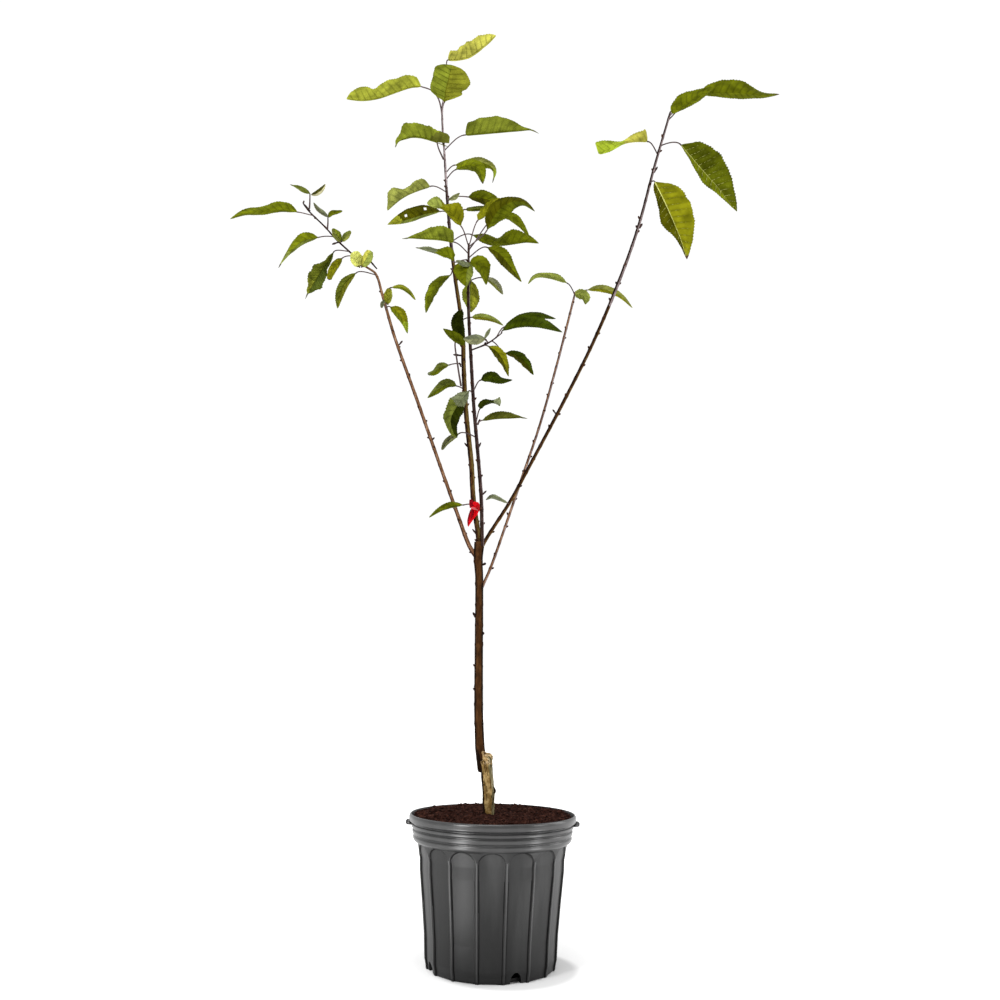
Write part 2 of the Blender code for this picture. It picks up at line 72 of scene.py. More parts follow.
# the graft: the scion beside the ragged top of the rootstock
COURSES['root'] = [(.2440, -.0068, .0086), (.2457, -.0069, .0087), (.2675, -.0078, .0103), (.2870, -.0085, .0105),
                   (.3073, -.0102, .0105), (.3175, -.0112, .0102), (.3310, -.0123, .0107), (.3380, -.0128, .0108),
                   (.3425, -.0116, .0102), (.3460, -.0100, .0080), (.3485, -.0086, .0048), (.3505, -.0078, .0006)]
COURSES['scion'] = [(.3190, -.0250, .0010), (.3215, -.0246, .0032), (.3260, -.0232, .0056), (.3370, -.0222, .0078),
                    (.3482, -.0226, .0088), (.3600, -.0243, .0086), (.3830, -.0259, .0083), (.4330, -.0281, .0079),
                    (.5490, -.0297, .0075), (.6600, -.0312, .0074)] + COURSES['trunk'][9:]
COURSES['pith'] = [(.2440, -.0069, 0), (.3000, -.0100, 0), (.3175, -.0128, 0), (.3350, -.0165, 0), (.3500, -.0192, 0),
                   (.3650, -.0240, 0), (.4000, -.0270, 0)]
# depth law of each limb: depth at the foot, gain, from height, over height
DEPTHS = {'trunk': (0.0, 0.0, 0.0, 1.0), 'scion': (-.0005, 0.0, 0.0, 1.0), 'root': (0.0, 0.0, 0.0, 1.0), 'leader': (.002, .030, .72, .98),
          'second': (-.006, -.045, .72, .57), 'left': (.004, .140, .70, .76),
          'right': (-.003, -.150, .72, .78), 'thin': (.003, .150, .64, .64),
          'twig': (-.0345, -.020, 1.08, .06), 'left2': (.113, -.010, 1.29, .05)}

# leaf blades as the viewer sees them: name, limb, height of the stalk's foot
# on it, midrib from foot to tip (picture places), depth at both ends (m),
# seen widths left and right of the midrib from foot to tip, depth of both
# margins behind the midrib (mm), tint (left/right, each half's colour with
# the light and shade on it painted in), further traits
BLADES = [
    ('L1', 'left', 1.428, [(297, 212), (280, 209.5), (262, 211.5), (245, 213), (230, 219)], .143, .172,
     (.8, 2.5, 3.4, 2.4, .3), (5, 8, 5, 4, .3), -12, 18, 'shade/mid', {}),
    ('L2', 'left', 1.377, [(318, 237.5), (303, 241), (291, 251), (282, 262), (278.5, 268)], .119, .059,
     (.8, 3, 2.8, 1.4, .3), (3, 7.5, 5.4, 2.4, .3), -8, 16, 'cool/mid', {'tip': (.6, 'soft'), 'drip': .08}),
    ('L3a', 'left', 1.444, [(310, 193.5), (303, 190), (297, 187), (290, 184.5)], .141, .116,
     (1, 2.2, 1.6, .4), (1, 2.6, 2.2, .4), -7, 7, 'cool', {'stalk': [(309.8, 202), (309.4, 208.6)], 'drip': .12}),
    ('L3b', 'left', 1.444, [(311, 195), (317, 193), (322, 189), (325.5, 184)], .141, .161,
     (1, 2.4, 2.2, .4), (1, 2.6, 2.2, .4), 10, -8, 'umber/straw', {'stalk': 0}),
    ('L4a', 'left', 1.395, [(328, 217), (322, 212), (318, 208), (313.5, 202.5)], .132, .112,
     (1, 2.2, 2.6, .4), (1, 2.2, 1.2, .4), -7, 7, 'dull/grey', {'stalk': [(327.9, 223), (327.4, 229)]}),
    ('L4b', 'left', 1.395, [(328, 217.5), (332, 213.5), (337, 212), (342.5, 211)], .132, .162,
     (1, 3, 1.8, .8), (1, 2, 2, .8), 7, -7, 'shade', {'stalk': 0}),
    ('L5a', 'left', 1.362, [(341, 241.5), (337, 235.5), (332.5, 228.5)], .118, .088,
     (1.5, 3.8, 1.2), (1.5, 4.4, 1.2), -8, 8, 'green/mid', {}),
    ('L5b', 'left', 1.362, [(342, 241.5), (346, 236), (350.8, 231)], .118, .118,
     (1.5, 3.2, 1.2), (1.5, 3.4, 1.2), 8, -6, 'cool/green', {}),
    ('L6', 'left', 1.342, [(333.4, 252.3), (328, 262), (321, 271), (314.5, 282), (308.7, 291.5), (305.3, 299)], .112, .066,
     (1.5, 2.2, 4, 7.4, 8.6, 6.4, .5), (1.5, 3, 5.4, 9.6, 8.4, 4.6, .5), 12, -16, 'deep/shade',
     {'ruffle': 2.4, 'ragged': .10, 'drip': .10, 'tipr': (.62, 'olive')}),
    ('L7', 'left', 1.331, [(342, 258.5), (335, 266), (331, 273), (329, 280)], .105, .050,
     (1.5, 3.6, 3.6, 2), (2.5, 4.2, 3.6, 2), 8, -10, 'under', {'ruffle': 1.4}),
    ('L8a', 'left', 1.327, [(359.5, 267), (356.5, 259), (354, 251.5)], .109, .079,
     (3, 6, 3.5), (3, 6.4, 3.8), -8, 8, 'pale', {'ruffle': 1.6, 'front': (.10, 'brown')}),
    ('L8b', 'left2', 1.323, [(362, 267), (366.5, 259), (370.5, 250.5)], .103, .083,
     (2, 4.6, 3.5), (2.5, 5.6, 3), 8, -8, 'yellow/soft', {'ruffle': 1.6, 'front': (.10, 'brown')}),
    ('L9', 'left', 1.287, [(356, 273), (345, 283), (339.5, 295), (337.5, 308.5)], .100, .046,
     (.8, 4.2, 4, .5), (1.5, 4.8, 4.2, .5), 14, -12, 'under/shade', {}),
    ('L10', 'left', 1.239, [(391.5, 287.5), (401, 287), (409, 292), (415.5, 300)], .111, .162,
     (1, 2.4, 2, .5), (.8, 2.2, 1.8, .5), 9, -9, 'olive/mid', {}),
    ('L11', 'left', 1.223, [(388, 304), (388, 296), (389.5, 288)], .088, .060,
     (2, 4, 2), (2, 4.2, 2), -7, 9, 'under/olive', {}),
    ('L11b', 'left', 1.205, [(384.5, 300), (382.5, 304), (381.5, 308)], .078, .068,
     (1, 1.8, .8), (1, 2.2, .8), 5, -5, 'grey', {}),
    ('L12', 'left', 1.210, [(390.5, 307), (398, 312.5), (403.5, 321.5), (407.5, 333.5)], .086, .046,
     (2, 6.2, 4, .3), (2.5, 4.2, 2.4, .3), 12, -10, 'under/mid', {'tip': (.6, 'bright'), 'arch': -6}),
    ('T1', 'leader', 1.701, [(448, 60), (460, 59.3), (471, 56), (483, 47), (496, 35.5)], .030, .080,
     (9, 9.5, 13.2, 13.5, 12, 9.5, 1.6), (1.2, 1.2, 1.2, 1.2, 1.2, 1.2, .6), 20, 22, 'yellow', {'ruffle': 2.0, 'ragged': .05, 'blunt': 1, 'quilt': 1.6}),
    ('T2', 'leader', 1.617, [(444.5, 102), (446, 90), (449, 78), (452, 65)], .019, -.055,
     (1, 8, 15, 16, 16, 16, 16.2, 15.2, 7), (1, 9.5, 16.5, 16, 20, 22, 19.5, 15.5, 7), 12, 16, 'mid/under',
     {'ragged': .012, 'teeth': .5, 'quilt': 1.4}),
    ('T3', 'leader', 1.584, [(421, 86.5), (410, 87.5), (395, 92.5), (378, 98.3), (362, 100.3), (346.5, 99)], .040, .071,
     (.8, .8, .8, .8, .8, .5), (7, 12, 13, 13.5, 12.5, 10.2, 13.5, 12, 3), 20, 24, 'olive',
     {'ruffle': 2.0, 'ragged': .03, 'blunt': 1, 'quilt': 1.6, 'stalk': [(431, 90), (437.5, 97), (440.8, 107), (442.6, 120)]}),
    ('T4', 'leader', 1.498, [(437, 142.3), (431, 140.2), (422, 137.6), (413, 136.9), (405, 138.8), (398.5, 141.5), (395, 147.5)], .014, -.046,
     (.8, .8, 1, 1, .8, .6, .3), (11.5, 11.5, 13, 13.5, 14.5, 5.5, .3), 20, 16, 'mid',
     {'stalk': [(438.8, 149), (443.6, 159.5)], 'front': (.17, 'umber'), 'ruffle': 2.4, 'ragged': .04, 'lobe': 12, 'blunt': 1, 'quilt': 1.5, 'drip': .05}),
    ('T5', 'leader', 1.516, [(465.5, 135), (485, 133.3), (505, 131.5), (520, 130.3), (531, 130), (538.8, 133.5)], .030, .010,
     (11, 13.6, 15.6, 16, 15.6, 13, 8.4, 2.8, .3), (1, 1, 1, 1, 1, 1, 1, .8, .3), 22, 20, 'shade', {'blunt': 1, 'ruffle': .8, 'drip': .09, 'teeth': .6}),
    ('T6a', 'leader', 1.452, [(456, 169.5), (468, 165), (479, 169), (483, 184)], .012, -.047,
     (3, 5.5, 6, .4), (1, 5.2, 4.5, .4), 16, -14, 'mid/dark', {'seam': 1.2}),
    ('T6b', 'leader', 1.467, [(455, 165), (474, 161.5), (489, 165), (494.5, 172), (492.5, 183)], .035, .060,
     (1, 2.8, 4.8, 3.2, .3), (2, 6, 6.4, 2.6, .3), 12, -12, 'green/shade', {'tip': (.72, 'bright'), 'drip': .08}),
    ('T7', 'leader', 1.425, [(430, 186.5), (419, 190), (408, 194.5), (399, 200), (392, 206), (387.5, 210.5)], .034, .089,
     (.8, .8, .8, .8, .8, .4), (5, 10, 9.6, 7.5, 6.8, 12.5, 13, 6, 1), 16, 22, 'green', {'ruffle': 2.0, 'ragged': .03, 'blunt': 1, 'quilt': 1.6}),
    ('C1', 'leader', 1.381, [(440, 211.5), (425, 214), (407, 219.5), (387.5, 224.5)], .037, .077,
     (1, 3.0, 3.2, .4), (4, 9.6, 9, .4), -8, 20, 'cool/umber', {'holes': 1, 'tip': (.70, 'olive'), 'teeth': .5}),
    ('C2', 'second', 1.279, [(461, 226), (452, 214), (441, 206), (427, 203)], -.056, -.101,
     (1, 3.5, 3.4, 2.5, 3.5, 1.4), (1.4, 9.5, 12.5, 3.5, 8, 2), -6, 16, 'under', {'ruffle': 2.4, 'tip': (.62, 'soft')}),
    ('C3', 'leader', 1.404, [(449, 200), (454, 196.5), (459.8, 193)], .017, -.003,
     (.8, 1.4, .4), (1, 3.6, .4), -5, 5, 'ash', {}),
    ('C4', 'leader', 1.409, [(468.5, 197), (480, 197.5), (492, 201), (505, 207)], .035, .070,
     (3, 7.8, 6, .4), (2, 5.4, 6, .4), 16, -14, 'shade/umber', {}),
    ('C5', 'second', 1.277, [(487, 230), (494, 216), (503, 206), (514, 201.3), (525, 203), (535, 211.5)], -.054, -.099,
     (1, 8, 9, 5, 2.4, .3), (1, 7.5, 11.5, 8, 3, .3), 14, -16, 'umber/dark', {}),
    ('C5b', 'second', 1.279, [(478, 220), (485, 211), (492, 204), (500, 198)], -.040, -.005,
     (3, 4.4, 3.8, .5), (2, 3.6, 3.2, .5), 10, -10, 'under', {'ruffle': 1.6, 'ragged': .08}),
    ('C7', 'second', 1.272, [(502, 216), (512, 217.5), (521.5, 226), (530, 238.5)], -.028, .023,
     (2, 5, 2.8, .4), (2, 3.8, 2.2, .4), 10, -12, 'mid/shade', {}),
    ('C8', 'leader', 1.366, [(466, 209.5), (475, 208.8), (485, 208.2), (492, 208)], .034, .034,
     (1.6, 2.4, 2.4, .4), (1.6, 2.4, 2, .4), 8, -8, 'cool/dark', {'blunt': 1}),
    ('C9', 'second', 1.264, [(453.5, 242), (440, 239.5), (425, 238.5), (411, 238), (402, 238.8)], -.057, -.047,
     (1, 1, 1, .8, .3), (10, 13.4, 11.4, 5.6, .3), 18, 20, 'mid', {'blunt': 1, 'drip': .10, 'quilt': 1.4}),
    ('C10', 'leader', 1.318, [(472.5, 235), (484, 239.5), (496, 242.8), (510, 242.2), (525, 241.5), (539, 243.3)], .026, .062,
     (1.6, 6, 5, 12.5, 8, .3), (1, 3.6, 3.2, 2.6, 1.2, .3), 18, -12, 'shade', {'ruffle': 1.6}),
    ('C11', 'second', 1.256, [(487.5, 247.5), (499, 253), (509, 264.5), (521.5, 282)], -.056, -.096,
     (2, 7.4, 3.6, .4), (2, 6.4, 4.6, .4), 10, -14, 'shade/umber', {}),
    ('C12', 'second', 1.250, [(453, 261), (449, 255.5), (440, 252), (430, 249.7), (415.5, 247.6)], -.060, -.090,
     (1, 3.6, 2.8, 2, .3), (2, 7.6, 2.2, 2.8, .3), -6, 12, 'mid', {'ruffle': 1.8, 'tip': (.45, 'grey'), 'drip': .06}),
    ('C13', 'second', 1.243, [(470, 262.5), (478, 263.5), (483.5, 270.5), (486.3, 285)], -.059, -.095,
     (3, 9.4, 5, .4), (3, 6.4, 4, .4), 14, -14, 'shade', {'blunt': 1}),
    ('C13b', 'second', 1.237, [(470, 265.5), (463, 263.5), (456, 260.5)], -.065, -.078,
     (1.5, 2.6, .6), (1.5, 2.8, .6), -7, 7, 'grey', {}),
    ('C14', 'second', 1.229, [(470, 263), (467, 270), (466, 278), (466.3, 287)], -.060, -.106,
     (3, 6.6, 5, .4), (4, 13, 8.5, .4), -12, 16, 'cool/shade', {'blunt': 1}),
    ('C15', 'second', 1.210, [(484, 278.3), (491, 281), (497, 286), (503, 294.5)], -.037, .000,
     (1, 3.8, 3.4, .5), (1, 2.6, 2.6, .5), 8, -8, 'ash/green', {}),
    ('C16', 'leader', 1.265, [(450.5, 275), (438, 283), (430.3, 296), (425.8, 313)], .013, -.043,
     (1, 4.6, 4, .4), (1, 5, 4.6, .4), -12, 14, 'dark/mid', {'ragged': .06}),
    ('C17', 'second', 1.195, [(471, 281), (471, 292), (471.5, 302), (471, 312.5)], -.031, -.001,
     (3, 7.4, 7.2, .4), (2, 8.6, 7.4, .4), -12, 12, 'under/shade', {}),
    ('C18', 'leader', 1.174, [(462, 310.5), (458.5, 320), (458.5, 330), (463, 341)], .002, -.048,
     (2, 5, 6, 1.5), (3, 6.8, 5.4, 1.5), 10, -12, 'night', {'blunt': 1}),
    ('C18b', 'leader', 1.020, [(465, 344.5), (457, 339), (450, 334), (443, 328.6)], -.058, -.072,
     (2.5, 3.6, 3, .3), (3, 5.4, 4, .3), -10, 12, 'dark', {'stalk': [(455.2, 341), (457.5, 364), (461, 386)]}),
    ('C19', 'leader', 1.156, [(472, 317.3), (483, 317), (493, 320), (503.5, 325.5)], .027, .062,
     (2.4, 3.4, 2.8, .3), (2, 3, 1.8, .3), 10, -10, 'soft/under', {}),
    ('C20a', 'twig', 1.110, [(502.5, 330.5), (520, 325.5), (541, 325), (562.5, 332.3)], -.049, -.093,
     (3, 9.6, 6.4, .3), (1, 2, 3, .3), 20, -10, 'deep', {}),
    ('C20b', 'twig', 1.103, [(504, 327), (520, 318), (538, 315), (556, 318.8)], -.030, .010,
     (1, 3.4, 2.8, .3), (1, 5, 4, .3), 12, -14, 'deep', {}),
    ('C21', 'twig', 1.092, [(485, 339), (477, 339), (470, 339.3), (463.5, 338.5)], -.047, -.086,
     (1.4, 5.4, 4.6, 1), (1.4, 4.4, 4, 1), -12, 12, 'ash/grey', {'blunt': 1}),
    ('C22', 'twig', 1.093, [(484.5, 338.5), (487.5, 333.5), (490.5, 328)], -.040, -.040,
     (.6, 1.8, .4), (.6, 1.6, .4), 5, -5, 'grey', {}),
    ('D1', 'twig', 1.089, [(488, 346), (497, 351.5), (504, 362), (508.5, 376.5)], -.046, -.085,
     (1, 5.2, 3.8, .3), (1, 4.8, 3.2, .3), 10, -12, 'under/umber', {'ragged': .06}),
    ('D2', 'twig', 1.097, [(505, 353), (516, 355), (525.5, 362.5), (533.5, 375)], -.030, .010,
     (1, 4.6, 4, .4), (1, 4, 4, .4), 11, -13, 'deep/umber', {'ragged': .06}),
    ('D3', 'leader', 1.066, [(449, 365), (441, 366.8), (434, 372.2), (427.5, 374)], .007, -.043,
     (1, 3.4, 3.4, 1.2), (1, 4.2, 2.4, 1.2), -8, 10, 'shade/cool', {'tip': (.85, 'grey')}),
    ('D4', 'second', 1.002, [(481, 380), (491, 377.8), (501, 380.6), (512.5, 380)], -.018, .022,
     (3, 6.4, 3, .3), (1.6, 4.4, 3, .3), 12, -10, 'deep', {'ruffle': 1.4}),
    ('D5', 'leader', 1.017, [(456.5, 386), (447, 384.7), (437, 390), (427.5, 398)], .005, -.045,
     (1, 3.2, 3.6, .4), (3, 6, 3.2, .4), -8, 12, 'dark/cool', {}),
    ('D6', 'second', .997, [(469, 391), (459, 403.5), (451.2, 418), (452.5, 430), (457, 438)], -.038, -.078,
     (2, 6, 8.4, 6.4, 1), (1.6, 9, 8.8, 5, 1), 10, -14, 'night/cool', {'ruffle': 2.6, 'ragged': .06, 'front': (.34, 'grey')}),
    ('D7', 'second', .916, [(459, 433.5), (451.5, 438), (446, 443), (441.8, 450)], -.035, -.071,
     (1, 2.8, 2.4, 1), (1, 3, 3, 1), 8, -10, 'dull/dry', {}),
    ('D8', 'second', .940, [(480, 408.5), (484, 403), (492, 401.7), (501, 401.5)], -.031, -.067,
     (3.4, 3.4, 1.6, 5), (1.6, 2.8, 1.6, 5), 8, -10, 'night', {'tip': (.66, 'grey'), 'blunt': 1}),
    ('D9', 'second', .938, [(482, 420.5), (497, 418.3), (512, 417.8), (521, 417.6), (527.5, 418.6)], -.029, -.059,
     (1, 4.4, 6.4, 6.6, 5.6, 3, .3), (.8, .8, .8, .8, .6, .3), 18, 14, 'umber', {'drip': .10}),
    ('D10', 'right', .795, [(507.5, 503), (499, 498.7), (492, 496.6), (485.7, 500)], -.023, .006,
     (.8, 1.8, 2, .3), (.8, 1.6, 2.2, .3), -8, 8, 'grey', {}),
    ('D11', 'leader', .793, [(463, 505), (451, 505.8), (440, 510), (429, 517.5)], -.014, -.049,
     (.8, 2.2, 1.6, .3), (1.2, 4, 2.8, .3), -8, 12, 'dark/shade', {}),
    ('R1a', 'right', 1.488, [(672, 113.5), (684, 104.5), (698, 96), (713, 88)], -.159, -.199,
     (5, 10.4, 6.4, 2), (1, 4.4, 4.6, .5), 14, -12, 'shade', {'blunt': 1}),
    ('R1b', 'right', 1.483, [(699, 94), (718, 92.5), (740, 92.5), (762, 95.5), (779.5, 94.3)], -.150, -.150,
     (5, 11.4, 11.8, 4, .3), (1, 4.6, 6.4, 3, .3), 16, -14, 'shade', {'brown': 1, 'seam': 1.4}),
    ('R2', 'right', 1.421, [(647.5, 141.5), (636, 141.3), (625, 143), (612, 147.5), (598.5, 153.5)], -.146, -.191,
     (.8, .8, 1, 3, 1.5), (13, 7.6, 2.6, 8.4, 12.5), -8, 18, 'bright', {'blunt': 1, 'front': (.46, 'yellow')}),
    ('R3', 'right', 1.437, [(681, 145), (699.5, 166.5), (718, 187.5), (737, 211.5)], -.149, -.169,
     (8, 19, 23, 21.5, 16, 9, .5), (1, 2.5, 5.6, 8, 5.2, 2.5, .3), -12, -6, 'dark/mid', {'quilt': 3, 'pale': 1}),
    ('R4', 'right', 1.371, [(655, 182), (664, 200), (673, 220), (681.5, 241), (687, 259.5)], -.140, -.184,
     (5.5, 18, 22, 21.5, 17, 9, .4), (5, 6, 9, 12, 6, 2.5, .3), 12, 16, 'under/umber', {'pale': 1, 'brown': 1, 'quilt': 2}),
    ('S1', 'thin', 1.268, [(567, 283), (555, 277.5), (542, 275.3), (534, 277), (528, 284)], .154, .184,
     (.8, 2.4, 2.4, 2, .4), (1, 4, 3, 2, .4), -8, 9, 'soft', {'ruffle': 1.4}),
    ('S2', 'thin', 1.261, [(575, 294.5), (581, 294.6), (585, 298), (585.5, 304.5)], .141, .101,
     (3, 5.6, 5, .5), (2.5, 4.8, 3, .5), 8, -8, 'soft/cool', {'blunt': 1}),
    ('S3', 'thin', 1.264, [(587, 290), (600, 288.6), (613, 292), (623, 298), (632.5, 308)], .155, .165,
     (.8, 3.8, 3.8, 2.2, .3), (.8, 3.2, 2.8, 1.8, .3), 10, -8, 'green/under', {}),
]


def hermite(keys, z, k):
    n = len(keys)
    i = 0
    while i < n - 2 and z > keys[i + 1][0]:
        i += 1

    def slope(j):
        a, b = max(j - 1, 0), min(j + 1, n - 1)
        return (keys[b][k] - keys[a][k]) / (keys[b][0] - keys[a][0])
    z0, z1 = keys[i][0], keys[i + 1][0]
    h = z1 - z0
    t = min(max((z - z0) / h, 0.0), 1.0)
    a, b = keys[i][k], keys[i + 1][k]
    return (a * (2 * t**3 - 3 * t**2 + 1) + b * (3 * t**2 - 2 * t**3)
            + h * slope(i) * (t**3 - 2 * t**2 + t) + h * slope(i + 1) * (t**3 - t**2))


def depth(limb, z):
    foot, gain, start, over = DEPTHS[limb]
    return foot + gain * max(0.0, (z - start) / over)


def centre(limb, z):
    if limb == 'left2':
        return Vector((-.2625 - 0.9 * (z - 1.31), depth(limb, z), z))
    return Vector((hermite(COURSES[limb], z, 1), depth(limb, z), z))


def radius(limb, z):
    return .0015 if limb == 'left2' else hermite(COURSES[limb], z, 2)


# ------------------------------------------------------------ materials
def mat(name, rough=.5, **kw):
    m = bpy.data.materials.new(name)
    m.use_nodes = True
    p = m.node_tree.nodes['Principled BSDF']
    p.inputs['Roughness'].default_value = rough
    for k, v in kw.items():
        p.inputs[k.replace('_', ' ')].default_value = v
    return m, m.node_tree, p


def ramp(nt, fac, stops):
    r = nt.nodes.new('ShaderNodeValToRGB')
    while len(r.color_ramp.elements) < len(stops):
        r.color_ramp.elements.new(.5)
    for e, (pos, c) in zip(r.color_ramp.elements, stops):
        e.position = pos
        e.color = (*c, 1)
    nt.links.new(fac, r.inputs['Fac'])
    return r.outputs['Color']


def noise_tex(nt, scale, detail=4, rough=.55, vec=None):
    n = nt.nodes.new('ShaderNodeTexNoise')
    n.inputs['Scale'].default_value = scale
    n.inputs['Detail'].default_value = detail
    n.inputs['Roughness'].default_value = rough
    if vec is None:
        vec = nt.nodes.new('ShaderNodeTexCoord').outputs['Object']
    nt.links.new(vec, n.inputs['Vector'])
    return n.outputs['Fac']


def stretched(nt, sx, sy, sz):
    c = nt.nodes.new('ShaderNodeTexCoord')
    m = nt.nodes.new('ShaderNodeMapping')
    m.inputs['Scale'].default_value = (sx, sy, sz)
    nt.links.new(c.outputs['Object'], m.inputs['Vector'])
    return m.outputs['Vector']


def bump(nt, p, height, dist, strength=.6):
    b = nt.nodes.new('ShaderNodeBump')
    b.inputs['Distance'].default_value = dist
    b.inputs['Strength'].default_value = strength
    nt.links.new(height, b.inputs['Height'])
    nt.links.new(b.outputs['Normal'], p.inputs['Normal'])


def rough_from(nt, p, fac, lo, hi):
    r = nt.nodes.new('ShaderNodeMapRange')
    r.inputs['To Min'].default_value = lo
    r.inputs['To Max'].default_value = hi
    nt.links.new(fac, r.inputs['Value'])
    nt.links.new(r.outputs['Result'], p.inputs['Roughness'])


def sums(nt, op, a, b=0.0, c=0.0):
    """One number worked out from sockets or numbers."""
    node = nt.nodes.new('ShaderNodeMath')
    node.operation = op
    for k, x in enumerate((a, b, c)):
        if isinstance(x, (int, float)):
            node.inputs[k].default_value = x
        else:
            nt.links.new(x, node.inputs[k])
    return node.outputs[0]


def leaf_material(name, colour, rough, spec=.14):
    """Blade surface: uneven green in cells between sunken side veins; the unevenness is partly the leaf's own mottling
    and partly painted light and shade, and the furrows of the veins darken with painted shade.
    """
    m, nt, p = mat(name, rough, Specular_IOR_Level=spec)
    uv = nt.nodes.new('ShaderNodeUVMap')
    uv.uv_map = 'blade'
    sep = nt.nodes.new('ShaderNodeSeparateXYZ')
    nt.links.new(uv.outputs['UV'], sep.inputs[0])
    along, across = sep.outputs['X'], sums(nt, 'ABSOLUTE', sep.outputs['Y'])
    # darker lines along the sunken side veins: partly their own colour, partly painted shade in the furrows
    lean = sums(nt, 'MULTIPLY_ADD', across, -.95, along)
    wave = sums(nt, 'COSINE', sums(nt, 'MULTIPLY', lean, 2 * math.pi))
    vein = sums(nt, 'MULTIPLY', sums(nt, 'POWER', sums(nt, 'MULTIPLY_ADD', wave, .5, .5), 5.0),
                sums(nt, 'SUBTRACT', 1.0, sums(nt, 'POWER', across, 3.0)))
    # broad lighter and darker patches: partly the leaf's own mottling, partly painted light and shade
    place = nt.nodes.new('ShaderNodeCombineXYZ')
    nt.links.new(sums(nt, 'MULTIPLY', along, .42), place.inputs[0])
    nt.links.new(sums(nt, 'MULTIPLY', sep.outputs['Y'], 1.1), place.inputs[1])
    patch = nt.nodes.new('ShaderNodeTexNoise')
    patch.inputs['Scale'].default_value = 1.0
    patch.inputs['Detail'].default_value = 1.5
    nt.links.new(place.outputs[0], patch.inputs['Vector'])
    fine = noise_tex(nt, 70, 2)
    f = sums(nt, 'MULTIPLY_ADD', fine, .35, sums(nt, 'MULTIPLY', patch.outputs[0], .65))
    dark = tuple(c * .56 for c in colour)
    lite = tuple(min(1, c * 1.62) for c in colour)
    tone = ramp(nt, f, [(.34, dark), (.5, tuple(min(1, c * 1.06) for c in colour)), (.66, lite)])
    mul = nt.nodes.new('ShaderNodeVectorMath')
    mul.operation = 'SCALE'
    nt.links.new(tone, mul.inputs[0])
    nt.links.new(sums(nt, 'MULTIPLY_ADD', vein, -.34, 1.0), mul.inputs['Scale'])
    nt.links.new(mul.outputs['Vector'], p.inputs['Base Color'])
    bump(nt, p, noise_tex(nt, 500, 2), .0001, .06)
    rough_from(nt, p, f, rough - .05, rough + .12)
    return m


def bark_material(name, a, b, c, spec=.04, grain=60, run=3.0):
    m, nt, p = mat(name, .6, Specular_IOR_Level=spec)
    f = noise_tex(nt, grain, 6, .6, stretched(nt, run, run, 1.0))
    nt.links.new(ramp(nt, f, [(.25, a), (.5, b), (.75, c)]), p.inputs['Base Color'])
    g = noise_tex(nt, 260, 5, .6, stretched(nt, 1.0, 1.0, 2.6))
    bump(nt, p, g, .0008, .6)
    rough_from(nt, p, f, .45, .75)
    return m


def new_piece(name, verts, faces, mats, idx=None, smooth=True, stands=(), uv=None):
    mesh = bpy.data.meshes.new(name)
    mesh.from_pydata([tuple(v) for v in verts], [], [tuple(f) for f in faces])
    for m in mats:
        mesh.materials.append(m)
    if idx is not None:
        mesh.polygons.foreach_set('material_index', idx)
    if smooth:
        mesh.shade_smooth()
    mesh.update()
    if uv:
        corner = np.empty(len(mesh.loops), np.int32)
        mesh.loops.foreach_get('vertex_index', corner)
        mesh.uv_layers.new(name='blade').uv.foreach_set('vector', np.array(uv, np.float32)[corner].ravel())
    obj = bpy.data.objects.new(name, mesh)
    bpy.context.scene.collection.objects.link(obj)
    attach(obj, "root")
    if stands:
        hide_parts(*stands)
    return obj


# ------------------------------------------------------------ pot
def smooth(a, b, x):
    t = np.clip((x - a) / (b - a), 0, 1)
    return t * t * (3 - 2 * t)


